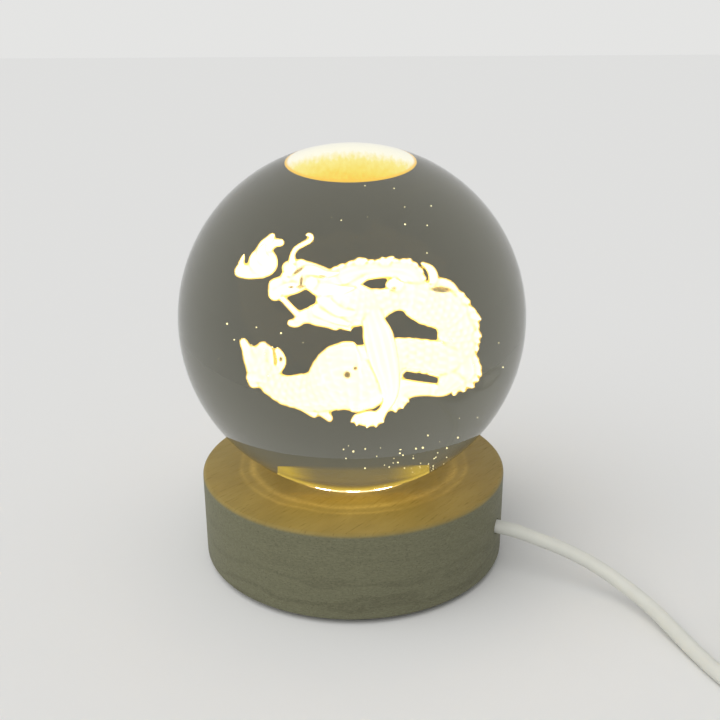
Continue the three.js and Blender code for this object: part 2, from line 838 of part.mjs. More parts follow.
function ledBoard() {
  const board = disc(boardRadius, 0, boardThickness, baseSides);
  const hole = disc(boardScrew.shankDiameter / 2 + clearance, -overrun, boardThickness + overrun, screwSides);
  return cutBy(
    board,
    screwAngles().map((degrees) => atAngle(hole, degrees, boardScrewRadius)),
  );
}

function led() {
  const [x, y] = [ledLength / 2, ledWidth / 2];
  const outline = new THREE.Shape();
  outline.moveTo(-x, -y);
  outline.lineTo(x, -y);
  outline.lineTo(x, y - ledCornerCut);
  outline.lineTo(x - ledCornerCut, y);
  outline.lineTo(-x, y);
  const body = solidFrom(new THREE.ExtrudeGeometry(outline, { depth: ledHeight, bevelEnabled: false }));
  const dish = disc(ledDishDiameter / 2, ledHeight - ledDishDepth, ledHeight + overrun, ledDishSides);
  return cutBy(body, [dish]);
}

function resistor() {
  const [x, y] = [resistorLength / 2, resistorWidth / 2];
  const waist = x - resistorEndLength;
  const across = y - resistorEndStep;
  const body = block([-waist, -across, 0], [waist, across, resistorHeight - resistorEndStep]);
  const ends = [-1, 1].map((side) => {
    const span = [side * waist, side * x].sort((a, b) => a - b);
    return block([span[0], -y, 0], [span[1], y, resistorHeight]);
  });
  return joined([body, ...ends]);
}

// The cord's lead through the wall, its tie and the two wires lie along +X and are turned to the hole.

function cordLead() {
  return barX(cordRadius, leadInnerRadius, baseRadius, 0, cordExitHeight, cordSides * 2);
}

function cableTie() {
  const inner = cordRadius + clearance;
  const outer = inner + tieBandThickness;
  const far = pocketRadius - tieWallGap;
  const near = far - tieBandWidth;
  const hollow = barX(inner, near - overrun, far + overrun, 0, cordExitHeight, holeSides);
  const band = cutBy(barX(outer, near, far, 0, cordExitHeight, holeSides), [hollow]);
  const low = cordExitHeight - outer - tieHeadHeight + tieBandThickness;
  const high = cordExitHeight - inner - clearance;
  const head = block([near, -tieHeadLength / 2, low], [far, tieHeadLength / 2, high]);
  return joined([band, head]);
}

function supplyWire(side) {
  const start = leadInnerRadius - clearance;
  const across = (side * wireSpacing) / 2;
  const pad = side * padSpread;
  const cup = boardBottom - solderHeight;
  const bend = wireDiameter;
  const route = [
    [start, across, cordExitHeight],
    [start - 2 * bend, across, cordExitHeight],
    [padRadius + 2 * bend, (across + pad) / 2, cordExitHeight - bend / 2],
    [padRadius, pad, cordExitHeight],
    [padRadius - bend / 2, pad, cup + solderHeight / 2],
  ].map((point) => new THREE.Vector3(...point));
  const wire = tubeAlong(new THREE.CatmullRomCurve3(route), wireDiameter / 2, wireSteps, wireSides);
  const [narrow, wide] = [wireDiameter / 2 + clearance, solderDiameter / 2];
  const drop = turned([[0, cup], [narrow, cup], [wide, boardBottom], [0, boardBottom]], solderSides);
  const solder = solidFrom(geometryOf(drop).translate(padRadius - bend / 2, pad, 0));
  return joined([wire, solder]);
}

// Cord outside the base

const exitMouth = new THREE.Vector3(baseRadius * Math.cos(exitTurn), baseRadius * Math.sin(exitTurn), 0);
const coilPitch = cordDiameter + coilGap;
const coilTurns = coilFullTurns + (coilEndAngle - coilStartAngle) / 360;
const coilSpan = (coilTurns / coilLayers) * coilPitch;
const coilOuterRadius = coilMidRadius + coilSpan / 2;
const coilLift = coilTieThickness + clearance;
const coilCentre = new THREE.Vector3(coilPlace[0], coilPlace[1], 0).add(exitMouth);

// The coil's line at a number of turns from its start. The radius swings between its outer and inner
// values, and the height climbs one layer in the half turn round each place where the spiral reverses.
function coilPoint(turns) {
  const layer = turns / (coilTurns / coilLayers);
  const swing = Math.abs((layer % 2) - 1);
  const radius = coilOuterRadius - coilSpan * (1 - swing);
  let climbed = 0;
  for (let k = 1; k < coilLayers; k += 1) {
    const past = turns - (k * coilTurns) / coilLayers;
    climbed += THREE.MathUtils.smoothstep(past, -coilClimbTurns, coilClimbTurns);
  }
  const turn = THREE.MathUtils.degToRad(coilStartAngle) + turns * 2 * Math.PI;
  return new THREE.Vector3(
    coilCentre.x + radius * Math.cos(turn),
    coilCentre.y + radius * Math.sin(turn),
    coilLift + cordRadius + climbed * coilPitch,
  );
}

function coilEnds() {
  const step = 1 / coilCheckSteps;
  const first = coilPoint(0);
  const last = coilPoint(coilTurns);
  const inwards = coilPoint(step).sub(first).setZ(0).normalize();
  const outwards = last.clone().sub(coilPoint(coilTurns - step)).setZ(0).normalize();
  return {
    start: first.clone().addScaledVector(inwards, -cordDiameter),
    startRun: inwards,
    end: last.clone().addScaledVector(outwards, cordDiameter),
    endRun: outwards,
  };
}

function coilLine() {
  const ends = coilEnds();
  const steps = Math.round(coilTurns * coilStepsPerTurn);
  const line = [ends.start];
  for (let i = 0; i <= steps; i += 1) line.push(coilPoint((i / steps) * coilTurns));
  line.push(ends.end);
  return line;
}

function cordCoil() {
  const line = coilLine();
  const rings = line.map((centre, i) => {
    const before = line[Math.max(i - 1, 0)];
    const after = line[Math.min(i + 1, line.length - 1)];
    const run = after.clone().sub(before).normalize();
    const across = new THREE.Vector3(run.y, -run.x, 0).normalize();
    const up = across.clone().cross(run);
    const ring = [];
    for (let j = 0; j < coilSides; j += 1) {
      const turn = ((j + 0.5) / coilSides) * 2 * Math.PI;
      const point = centre.clone().addScaledVector(across, cordRadius * Math.cos(turn));
      ring.push(point.addScaledVector(up, cordRadius * Math.sin(turn)));
    }
    return ring;
  });
  return loft(rings);
}

// The least gap between stretches of the coil that are more than half a turn apart along it
function coilLeastGap() {
  const line = [];
  for (let i = 0; i <= coilTurns * coilCheckSteps; i += 1) line.push(coilPoint(i / coilCheckSteps));
  const halfTurn = coilCheckSteps / 2;
  let least = Infinity;
  for (let i = 0; i < line.length; i += 1) {
    for (let j = i + halfTurn; j < line.length; j += 1) least = Math.min(least, line[i].distanceTo(line[j]));
  }
  return least - cordDiameter;
}

// The tie that holds the coil: a flat band round all the turns, with its ends twisted together outside
function coilTie() {
  const inner = coilMidRadius - coilSpan / 2 - cordRadius - clearance;
  const outer = coilOuterRadius + cordRadius + clearance;
  const high = coilLift + cordDiameter + (coilLayers - 1) * coilPitch + clearance;
  const low = coilLift - clearance;
  const band = (grow, width) => {
    const corner = coilTieCorner - coilTieThickness + grow;
    const outline = roundedOutline(outer - inner + 2 * grow, high - low + 2 * grow, corner);
    const settings = { depth: width, bevelEnabled: false, curveSegments: coilTieCornerSteps };
    const bar = new THREE.ExtrudeGeometry(outline, settings).translate(0, 0, -width / 2).rotateX(Math.PI / 2);
    return solidFrom(bar.translate((outer + inner) / 2, 0, (high + low) / 2));
  };
  const twist = [-1, 1].map((side) => {
    const root = new THREE.Vector3(outer + coilTieThickness / 2, 0, (high + low) / 2);
    const run = new THREE.Vector3(coilTieTwistLength, side * coilTieTwistSpread, coilTieWidth);
    const tip = root.clone().add(run);
    return tubeAlong(new THREE.LineCurve3(root, tip), coilTieTwistDiameter / 2, 1, limbSides);
  });
  const outside = band(coilTieThickness, coilTieWidth);
  const strap = cutBy(joined([outside, ...twist]), [band(0, coilTieWidth + 2 * overrun)]);
  const place = geometryOf(strap).rotateZ(THREE.MathUtils.degToRad(coilTieAngle));
  return solidFrom(place.translate(...coilCentre.toArray()));
}

function cordAlong(points, steps) {
  return tubeAlong(new THREE.CatmullRomCurve3(points, false, "centripetal"), cordRadius, steps, cordSides);
}

function cordRun() {
  const out = new THREE.Vector3(Math.cos(exitTurn), Math.sin(exitTurn), 0);
  const ends = coilEnds();
  const start = exitMouth.clone().setZ(standHeight + cordExitHeight).addScaledVector(out, clearance);
  const last = ends.start.clone().addScaledVector(ends.startRun, -clearance);
  const points = [
    start,
    ...cordRoute.map(([x, y, z]) => new THREE.Vector3(exitMouth.x + x, exitMouth.y + y, z)),
    last.clone().addScaledVector(ends.startRun, -cordDiameter),
    last,
  ];
  return cordAlong(points, cordRouteSteps);
}

// The switch and the plug lie beyond the coil, along the way that the coil's end points.
const tailRun = coilEnds().endRun;
const tailSide = new THREE.Vector3(-tailRun.y, tailRun.x, 0);
const switchStart = coilEnds().end.addScaledVector(tailRun, tailToSwitch).setZ(0);
const switchMiddle = switchStart.clone().addScaledVector(tailRun, switchLength / 2);
const switchEnd = switchStart.clone().addScaledVector(tailRun, switchLength);
const switchCordHeight = switchSplitHeight;
const plugCordHeight = plugHeight / 2;
const turnStart = switchEnd.clone().addScaledVector(tailRun, tailStraight);
const turnMiddle = turnStart.clone().addScaledVector(tailSide, tailTurnRadius);
const turnEnd = turnStart.clone().addScaledVector(tailSide, 2 * tailTurnRadius);
const plugStart = turnEnd.clone().addScaledVector(tailRun, -tailLast);

function tailOne() {
  const from = coilEnds().end;
  const points = [
    from.clone().addScaledVector(tailRun, clearance),
    from.clone().addScaledVector(tailRun, clearance + cordDiameter),
    from.clone().lerp(switchStart, 0.5).setZ((from.z + switchCordHeight) / 2),
    switchStart.clone().addScaledVector(tailRun, -clearance - cordDiameter).setZ(switchCordHeight),
    switchStart.clone().addScaledVector(tailRun, -clearance).setZ(switchCordHeight),
  ];
  return cordAlong(points, tailOneSteps);
}

function tailTwo() {
  const points = [
    switchEnd.clone().addScaledVector(tailRun, clearance).setZ(switchCordHeight),
    switchEnd.clone().addScaledVector(tailRun, clearance + cordDiameter).setZ(switchCordHeight),
  ];
  for (let i = 0; i <= tailArcSteps; i += 1) {
    const turn = (i / tailArcSteps) * Math.PI;
    const point = turnMiddle.clone().addScaledVector(tailSide, -tailTurnRadius * Math.cos(turn));
    point.addScaledVector(tailRun, tailTurnRadius * Math.sin(turn));
    points.push(point.setZ(THREE.MathUtils.lerp(switchCordHeight, plugCordHeight, i / tailArcSteps)));
  }
  points.push(plugStart.clone().addScaledVector(tailRun, clearance).setZ(plugCordHeight));
  return cordAlong(points, tailTwoSteps);
}

// In-line switch, drawn along X with its middle at x = 0 and its underside at z = 0

const pivotHeight = switchHeight - rockerPivotDrop;

function switchBody() {
  return roundedBar(switchLength, switchWidth, switchHeight, switchCornerRadius, switchEdgeBevel);
}

function switchPocket() {
  const [x, y] = [switchPocketLength / 2, rockerWidth / 2 + clearance];
  return block([-x, -y, switchFloor], [x, y, switchHeight + overrun]);
}

function switchScrewHoles() {
  const head = switchScrew.headDiameter / 2 + clearance;
  const shank = switchScrew.shankDiameter / 2 + clearance;
  const tip = switchScrewSink + switchScrew.screwLength + clearance;
  const profile = [[0, -overrun], [head, -overrun], [head, switchScrewSink]];
  profile.push([shank, switchScrewSink], [shank, tip], [0, tip]);
  return [-1, 1].map((side) => {
    const hole = turned(profile, screwSides);
    return solidFrom(geometryOf(hole).translate((side * switchScrewSpread) / 2, 0, 0));
  });
}

function switchHalf(upper) {
  const far = switchLength;
  const [low, high] = upper ? [switchSplitHeight, switchHeight + overrun] : [-overrun, switchSplitHeight];
  const half = switchBody().intersect(block([-far, -far, low], [far, far, high]));
  const tools = [switchPocket(), ...switchScrewHoles()];
  if (upper) {
    const reach = rockerWidth / 2 + rockerPinReach + 2 * clearance;
    const hole = rockerPinDiameter / 2 + clearance;
    tools.push(barY(hole, -reach, reach, 0, pivotHeight, rockerPinSides));
    tools.push(block([-hole, -reach, switchSplitHeight - overrun], [hole, reach, pivotHeight]));
  }
  return cutBy(half, tools);
}

// The rocker is drawn level about its pivot and then tilted to ON.
function rocker() {
  const [x, y] = [rockerLength / 2, rockerWidth / 2];
  const crown = rockerCrown - rockerPinDiameter / 2;
  const outline = new THREE.Shape();
  outline.moveTo(-rockerFoot / 2, -rockerDepth);
  outline.lineTo(rockerFoot / 2, -rockerDepth);
  outline.lineTo(x, 0);
  outline.lineTo(x, crown);
  outline.quadraticCurveTo(0, crown - 2 * rockerDip, -x, crown);
  outline.lineTo(-x, 0);
  const settings = { depth: 2 * y, bevelEnabled: false, curveSegments: rockerDipSteps };
  const paddle = new THREE.ExtrudeGeometry(outline, settings).translate(0, 0, -y).rotateX(Math.PI / 2);
  const pins = barY(rockerPinDiameter / 2, -y - rockerPinReach, y + rockerPinReach, 0, 0, rockerPinSides);
  const whole = joined([solidFrom(paddle), pins]);
  return solidFrom(geometryOf(whole).rotateY(THREE.MathUtils.degToRad(rockerTilt)));
}

function switchContact() {
  const strip = block(
    [-contactLength / 2, -contactWidth / 2, 0],
    [contactLength / 2, contactWidth / 2, contactThickness],
  );
  const bump = turned(
    [
      [0, contactThickness / 2],
      [contactBumpDiameter / 2, contactThickness / 2],
      [contactBumpDiameter / 4, contactThickness + contactBumpHeight],
      [0, contactThickness + contactBumpHeight],
    ],
    contactBumpSides,
  );
  return joined([strip, bump]);
}

// Plug, drawn along X from the tip of its strain relief, with its underside at z = 0

function plugOvermould() {
  const [wide, high] = [plugWidth - 2 * plugBevel, plugHeight - 2 * plugBevel];
  const outline = roundedOutline(wide, high, plugCorner - plugBevel);
  const settings = {
    depth: plugLength - 2 * plugBevel,
    bevelEnabled: true,
    bevelThickness: plugBevel,
    bevelSize: plugBevel,
    bevelSegments: 1,
    curveSegments: plugCornerSteps,
  };
  const bar = new THREE.ExtrudeGeometry(outline, settings).rotateY(Math.PI / 2).rotateX(Math.PI / 2);
  const body = solidFrom(bar.translate(reliefLength + plugBevel, 0, plugCordHeight));
  const front = reliefLength + plugLength;
  const [socketY, socketZ] = [shellWidth / 2 + clearance, shellHeight / 2 + clearance];
  const socket = block(
    [front - shellInset - clearance, -socketY, plugCordHeight - socketZ],
    [front + overrun, socketY, plugCordHeight + socketZ],
  );
  const grips = [];
  for (let i = 0; i < gripCount; i += 1) {
    const at = reliefLength + gripStart + i * gripPitch;
    for (const side of [-1, 1]) {
      const reach = gripDepth + overrun;
      const middle = side * (plugWidth / 2 - gripDepth + reach / 2);
      const low = [at, middle - reach / 2, -overrun];
      grips.push(block(low, [at + gripWidth, middle + reach / 2, plugHeight + overrun]));
    }
  }
  return joined([cutBy(body, [socket, ...grips]), strainRelief()]);
}

// A tapering sleeve with ribs, ending inside the overmould
function strainRelief() {
  const pitch = reliefLength / reliefRibs;
  const profile = [[0, 0]];
  for (let i = 0; i < reliefRibs; i += 1) {
    const radius = THREE.MathUtils.lerp(reliefTipDiameter, reliefDiameter, i / reliefRibs) / 2;
    const groove = radius - reliefRibDepth;
    profile.push([radius, i * pitch], [radius, (i + reliefRibShare) * pitch]);
    profile.push([groove, (i + reliefRibShare) * pitch], [groove, (i + 1) * pitch]);
  }
  const end = reliefLength + plugBevel + overrun;
  profile.push([reliefDiameter / 2, reliefLength], [reliefDiameter / 2, end], [0, end]);
  const sleeve = geometryOf(turned(profile, reliefSides)).rotateY(Math.PI / 2);
  return solidFrom(sleeve.translate(0, 0, plugCordHeight));
}

const shellBack = reliefLength + plugLength - shellInset;
const shellTip = reliefLength + plugLength + shellReach;

function plugShell() {
  const [y, z] = [shellWidth / 2, shellHeight / 2];
  const [insideY, insideZ] = [y - shellWall, z - shellWall];
  const hollow = block(
    [shellBack - overrun, -insideY, plugCordHeight - insideZ],
    [shellTip + overrun, insideY, plugCordHeight + insideZ],
  );
  const tools = [hollow];
  for (const side of [-1, 1]) {
    const middle = (side * shellHoleSpread) / 2;
    const from = shellTip - shellHoleFromTip;
    tools.push(
      block(
        [from - shellHoleSize / 2, middle - shellHoleSize / 2, plugCordHeight - z - overrun],
        [from + shellHoleSize / 2, middle + shellHoleSize / 2, plugCordHeight + z + overrun],
      ),
    );
  }
  const body = block([shellBack, -y, plugCordHeight - z], [shellTip, y, plugCordHeight + z]);
  return cutBy(body, tools);
}

function plugTongue() {
  const y = shellWidth / 2 - shellWall - clearance;
  const z = shellHeight / 2 - shellWall - clearance;
  const back = shellBack;
  const root = block([back, -y, plugCordHeight - z], [back + tongueBlockLength, y, plugCordHeight + z]);
  const plate = block(
    [back, -y, plugCordHeight + z - tongueThickness],
    [shellTip - tongueShortfall, y, plugCordHeight + z],
  );
  return joined([root, plate]);
}

function plugPin() {
  return block([0, -pinWidth / 2, -pinThickness], [pinLength, pinWidth / 2, 0]);
}

// Assembly

function addRing(group, name, count, solid, finish, place) {
  for (let i = 0; i < count; i += 1) {
    const copy = piece(`${name}_${i + 1}`, solid, finish);
    place(copy, i);
    group.add(copy);
  }
}

function polarPlace(copy, degrees, radius, height) {
  const turn = THREE.MathUtils.degToRad(degrees);
  copy.position.set(radius * Math.cos(turn), radius * Math.sin(turn), height);
  copy.rotation.z = turn;
}

function baseGroup() {
  const group = new THREE.Group();
  group.position.z = standHeight;
  group.add(piece("wood_base", woodBase(), "wood"));
  group.add(piece("bottom_cover", bottomCover(), "cover"));

  const board = piece("led_board", ledBoard(), "boardWhite");
  board.position.z = boardBottom;
  group.add(board);

  addRing(group, "led", ledCount, led(), "led", (copy, i) => {
    polarPlace(copy, (360 / ledCount) * (i + 0.5), ledCircleRadius, ledgeHeight);
    copy.rotation.z += Math.PI / 2;
  });
  addRing(group, "resistor", resistorCount, resistor(), "resistor", (copy, i) =>
    polarPlace(copy, 90 + (360 / resistorCount) * i, resistorCircleRadius, ledgeHeight),
  );
  addRing(group, "board_screw", screwCount, screwSolid(boardScrew, false), "steel", (copy, i) =>
    polarPlace(copy, screwAngles()[i], boardScrewRadius, boardBottom),
  );
  addRing(group, "cover_screw", screwCount, screwSolid(coverScrew, true), "steel", (copy, i) =>
    polarPlace(copy, screwAngles()[i] + coverScrewTurn, coverScrewRadius, 0),
  );
  addRing(group, "foot", footCount, foot(), "rubber", (copy, i) =>
    polarPlace(copy, footAngles()[i], footCircleRadius, -standHeight),
  );

  const inlet = new THREE.Group();
  inlet.rotation.z = exitTurn;
  inlet.add(piece("cord_lead", cordLead(), "cord"));
  inlet.add(piece("cable_tie", cableTie(), "nylon"));
  inlet.add(piece("red_wire", supplyWire(1), "redWire"));
  inlet.add(piece("black_wire", supplyWire(-1), "blackWire"));
  group.add(inlet);
  return group;
}

function ballGroup() {
  const group = new THREE.Group();
  group.position.z = ballCentreHeight;
  group.add(piece("crystal_ball", crystalBall(), "glass"));
  group.add(piece("engraved_dragon", dragonForm(0), "engraving"));
  group.add(piece("engraved_pearl", pearlForm(0), "engraving"));
  return group;
}

function cordGroup() {
  const group = new THREE.Group();
  group.add(piece("cord_run", cordRun(), "cord"));
  group.add(piece("cord_coil", cordCoil(), "cord"));
  group.add(piece("coil_tie", coilTie(), "nylon"));
  group.add(piece("cord_tail_1", tailOne(), "cord"));
  group.add(piece("cord_tail_2", tailTwo(), "cord"));
  return group;
}

function switchGroup() {
  const group = new THREE.Group();
  group.position.copy(switchMiddle);
  group.rotation.z = Math.atan2(tailRun.y, tailRun.x);
  group.add(piece("switch_lower", switchHalf(false), "whitePlastic"));
  group.add(piece("switch_upper", switchHalf(true), "whitePlastic"));
  const paddle = piece("switch_rocker", rocker(), "whitePlastic");
  paddle.position.z = pivotHeight;
  group.add(paddle);
  addRing(group, "switch_contact", 2, switchContact(), "brass", (copy, i) => {
    copy.position.set((i - 0.5) * contactSpread, 0, switchFloor);
  });
  addRing(group, "switch_screw", 2, screwSolid(switchScrew, false), "steel", (copy, i) => {
    copy.position.set((i - 0.5) * switchScrewSpread, 0, switchScrewSink);
  });
  return group;
}

function plugGroup() {
  const group = new THREE.Group();
  group.position.copy(plugStart);
  group.rotation.z = Math.atan2(-tailRun.y, -tailRun.x);
  group.add(piece("plug_overmould", plugOvermould(), "cord"));
  group.add(piece("plug_shell", plugShell(), "steel"));
  group.add(piece("plug_tongue", plugTongue(), "tongue"));
  const under = plugCordHeight + shellHeight / 2 - shellWall - clearance - tongueThickness;
  addRing(group, "plug_contact", pinCount, plugPin(), "brass", (copy, i) => {
    const across = (i - (pinCount - 1) / 2) * contactPitch;
    copy.position.set(shellTip - tongueShortfall - pinSetback - pinLength, across, under);
  });
  return group;
}

console.log(`coil: ${coilTurns.toFixed(3)} turns, least gap to itself ${coilLeastGap().toFixed(3)} mm`);

const lamp = new THREE.Group();
lamp.add(baseGroup(), ballGroup(), cordGroup(), switchGroup(), plugGroup());
export default lamp;
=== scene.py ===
import json
import math
import random

import bmesh
import bpy
from mathutils import Matrix, Vector


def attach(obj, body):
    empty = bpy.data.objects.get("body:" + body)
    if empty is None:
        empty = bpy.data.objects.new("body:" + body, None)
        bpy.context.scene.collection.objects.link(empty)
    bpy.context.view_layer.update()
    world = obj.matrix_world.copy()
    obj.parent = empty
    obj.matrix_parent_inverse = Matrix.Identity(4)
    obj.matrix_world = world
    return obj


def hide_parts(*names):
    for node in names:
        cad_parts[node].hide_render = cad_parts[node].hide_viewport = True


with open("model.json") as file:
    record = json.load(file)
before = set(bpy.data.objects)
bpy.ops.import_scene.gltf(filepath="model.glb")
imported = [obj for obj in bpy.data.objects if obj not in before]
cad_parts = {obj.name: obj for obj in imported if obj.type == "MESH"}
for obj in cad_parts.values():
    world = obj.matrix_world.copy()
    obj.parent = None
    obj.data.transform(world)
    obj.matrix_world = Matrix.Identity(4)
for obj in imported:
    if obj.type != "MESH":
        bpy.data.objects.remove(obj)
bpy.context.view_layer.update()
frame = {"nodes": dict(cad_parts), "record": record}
nodes = frame["nodes"]
scene = bpy.context.scene
scene.view_settings.view_transform = "Standard"
mm = 0.001
print("frame loaded,", len(nodes), "nodes")

# Camera

cameraSpot = {
    "place": (0.00225, -0.19984, 0.11664),
    "pitch": 0.3309,
    "yaw": -0.0025,
    "roll": -0.0054,
    "lens": 44.49,
    "sensor": 36.0,
    "clip": (0.005, 50),
}


def makeCamera(spot):
    camera = bpy.data.objects.new("camera", bpy.data.cameras.new("camera"))
    bpy.context.collection.objects.link(camera)
    camera.data.lens = spot["lens"]
    camera.data.sensor_width = spot["sensor"]
    camera.data.clip_start, camera.data.clip_end = spot["clip"]
    pitch, yaw = spot["pitch"], spot["yaw"]
    ahead = Vector((math.sin(yaw) * math.cos(pitch), math.cos(yaw) * math.cos(pitch), -math.sin(pitch)))
    right = Vector((math.cos(yaw), -math.sin(yaw), 0))
    up = right.cross(ahead)
    c, s = math.cos(spot["roll"]), math.sin(spot["roll"])
    turned = (right * c + up * s, up * c - right * s, -ahead)
    camera.matrix_world = Matrix.Translation(spot["place"]) @ Matrix(turned).transposed().to_4x4()
    scene.camera = camera


makeCamera(cameraSpot)

# Helpers for meshes


def addObject(name, mesh, material=None):
    piece = bpy.data.objects.new(name, mesh)
    bpy.context.collection.objects.link(piece)
    if material:
        mesh.materials.append(material)
    return piece


def painted(piece, material):
    piece.data.materials.clear()
    piece.data.materials.append(material)
    return piece


def sharpened(piece, angle):
    piece.data.set_sharp_from_angle(angle=math.radians(angle))
    return piece


def placeMesh(piece, matrix):
    piece.data.transform(matrix)
    return piece


def circle(steps):
    return [2 * math.pi * i / steps for i in range(steps)]


def quarter(steps):
    return [math.pi / 2 * i / steps for i in range(steps + 1)]


def lifted(spot, height):
    return Vector((spot.x, spot.y, height))


def meshOf(bm, mesh, smooth=False):
    bm.to_mesh(mesh)
    bm.free()
    if smooth:
        mesh.shade_smooth()
    return mesh


def solidFrom(name, verts, faces, smooth=True):
    mesh = bpy.data.meshes.new(name)
    mesh.from_pydata([tuple(v) for v in verts], [], faces)
    mesh.validate()
    bm = bmesh.new()
    bm.from_mesh(mesh)
    bmesh.ops.remove_doubles(bm, verts=bm.verts, dist=1e-7)
    bmesh.ops.recalc_face_normals(bm, faces=bm.faces)
    return addObject(name, meshOf(bm, mesh, smooth))


def baked(piece):
    # The piece's mesh with its modifiers applied and gone
    dg = bpy.context.evaluated_depsgraph_get()
    mesh = bpy.data.meshes.new_from_object(piece.evaluated_get(dg))
    piece.modifiers.clear()
    piece.data = mesh
    return piece


def modified(piece, kind, **settings):
    modifier = piece.modifiers.new(kind.lower(), kind)
    for key, value in settings.items():
        setattr(modifier, key, value)
    return piece


def cutAway(piece, tools):
    for tool in tools:
        modified(piece, "BOOLEAN", operation="DIFFERENCE", solver="EXACT", object=tool)
    baked(piece)
    for tool in tools:
        bpy.data.objects.remove(tool)
    return piece


def softened(piece, width, segments, angle=35):
    modified(piece, "BEVEL", width=width, segments=segments, limit_method="ANGLE",
             angle_limit=math.radians(angle), harden_normals=False)
    return sharpened(baked(piece), 50)


def lathe(name, profile, sides, sharp=35):
    # A closed profile of (radius, height) turned about Z
    verts = [(r * math.cos(turn), r * math.sin(turn), z) for turn in circle(sides) for r, z in profile]
    faces = []
    count = len(profile)
    for i in range(sides):
        for j in range(count):
            k = (j + 1) % count
            a, b = i * count, ((i + 1) % sides) * count
            if profile[j][0] or profile[k][0]:
                faces.append([a + j, b + j, b + k, a + k])
    return sharpened(solidFrom(name, verts, faces), sharp)


def stackFaces(rings, count):
    # Sides between rings of points, and the two ends
    faces = []
    for i in range(rings - 1):
        low, high = i * count, (i + 1) * count
        for j in range(count):
            k = (j + 1) % count
            faces.append([low + j, low + k, high + k, high + j])
    last = (rings - 1) * count
    return [*faces, list(range(count))[::-1], list(range(last, last + count))]


def box(low, high, name="cutter"):
    spots = [(x, y, z) for x in (low[0], high[0]) for y in (low[1], high[1]) for z in (low[2], high[2])]
    faces = [(0, 1, 3, 2), (4, 6, 7, 5), (0, 4, 5, 1), (2, 3, 7, 6), (0, 2, 6, 4), (1, 5, 7, 3)]
    return solidFrom(name, spots, faces, smooth=False)


def rod(start, end, radius, sides, name="cutter"):
    start, end = Vector(start), Vector(end)
    run = (end - start).normalized()
    side = run.orthogonal().normalized() * radius
    other = run.cross(side)
    ring = [side * math.cos(turn) + other * math.sin(turn) for turn in circle(sides)]
    verts = [place + spoke for place in (start, end) for spoke in ring]
    return solidFrom(name, verts, stackFaces(2, sides), smooth=False)


def roundedOutline(length, width, corner, steps=8):
    points = []
    for cx, cy, first in ((1, 1, 0), (-1, 1, 90), (-1, -1, 180), (1, -1, 270)):
        for bend in quarter(steps):
            turn = math.radians(first) + bend
            points.append((cx * (length / 2 - corner) + corner * math.cos(turn),
                           cy * (width / 2 - corner) + corner * math.sin(turn)))
    return points


def roundedBlock(name, length, width, levels, corner):
    # Rings of one rounded outline, each at a height and drawn in by an inset
    least = 0.0002
    verts = []
    for height, inset in levels:
        ring = roundedOutline(length - 2 * inset, width - 2 * inset, max(corner - inset, least))
        verts += [(x, y, height) for x, y in ring]
    return sharpened(solidFrom(name, verts, stackFaces(len(levels), len(ring))), 40)


def joinMeshes(name, pieces):
    bm = bmesh.new()
    for piece in pieces:
        bm.from_mesh(piece.data)
        bpy.data.objects.remove(piece)
    return addObject(name, meshOf(bm, bpy.data.meshes.new(name)))


# Helpers for materials and Geometry Nodes


def put(socket, value):
    # A value, or another node's output, on one input
    if isinstance(value, bpy.types.NodeSocket):
        socket.id_data.links.new(value, socket)
    elif socket.type == "RGBA":
        socket.default_value = (*value, 1)
    else:
        socket.default_value = value


def fill(made, values):
    for key, value in values.items():
        put(made.inputs[key], value)


def node(tree, kind, values=None, **settings):
    made = tree.nodes.new(kind)
    for key, value in settings.items():
        setattr(made, key, value)
    fill(made, values or {})
    return made


def newMaterial(name, values=None):
    material = bpy.data.materials.new(name)
    material.use_nodes = True
    tree = material.node_tree
    shader = next(n for n in tree.nodes if n.type == "BSDF_PRINCIPLED")
    fill(shader, values or {})
    return material, tree, shader


def millimetres(tree, turn=0.0, stretch=(1, 1, 1), centre=(0, 0, 0)):
    # Object coordinates in millimetres from a centre, turned about Z and stretched
    place = node(tree, "ShaderNodeTexCoord").outputs["Object"]
    first = {"Location": [-c / mm for c in centre], "Scale": [1 / mm] * 3}
    for values in (first, {"Rotation": (0, 0, turn)}, {"Scale": stretch}):
        place = node(tree, "ShaderNodeMapping", {"Vector": place, **values}).outputs["Vector"]
    return place


def apart(vector):
    return node(vector.id_data, "ShaderNodeSeparateXYZ", {"Vector": vector}).outputs


def fromAxis(x, y):
    flat = node(x.id_data, "ShaderNodeCombineXYZ", {"X": x, "Y": y}).outputs[0]
    return node(x.id_data, "ShaderNodeVectorMath", {0: flat}, operation="LENGTH").outputs["Value"]


def noiseOn(vector, scale, detail, roughness=0.5):
    values = {"Vector": vector, "Scale": scale, "Detail": detail, "Roughness": roughness}
    return node(vector.id_data, "ShaderNodeTexNoise", values).outputs["Fac"]


def ramp(value, stops):
    # A stop is a place and a colour, or a place and a grey
    made = node(value.id_data, "ShaderNodeValToRGB", {"Fac": value})
    elements = made.color_ramp.elements
    while len(elements) < len(stops):
        elements.new(0.5)
    for element, (place, colour) in zip(elements, stops):
        element.position = place
        element.color = (*colour, 1) if isinstance(colour, tuple) else (colour, colour, colour, 1)
    return made.outputs["Color"]


def mathOn(operation, a, b=0.0, clamp=False):
    tree = next(value.id_data for value in (a, b) if isinstance(value, bpy.types.NodeSocket))
    return node(tree, "ShaderNodeMath", {0: a, 1: b}, operation=operation, use_clamp=clamp).outputs[0]


def plus(a, b):
    return mathOn("ADD", a, b)


def minus(a, b):
    return mathOn("SUBTRACT", a, b)


def over(a, b):
    return mathOn("DIVIDE", a, b)


def above(a, b):
    return mathOn("GREATER_THAN", a, b)


def below(a, b):
    return mathOn("LESS_THAN", a, b)


def times(first, *others):
    for other in others:
        first = mathOn("MULTIPLY", first, other)
    return first


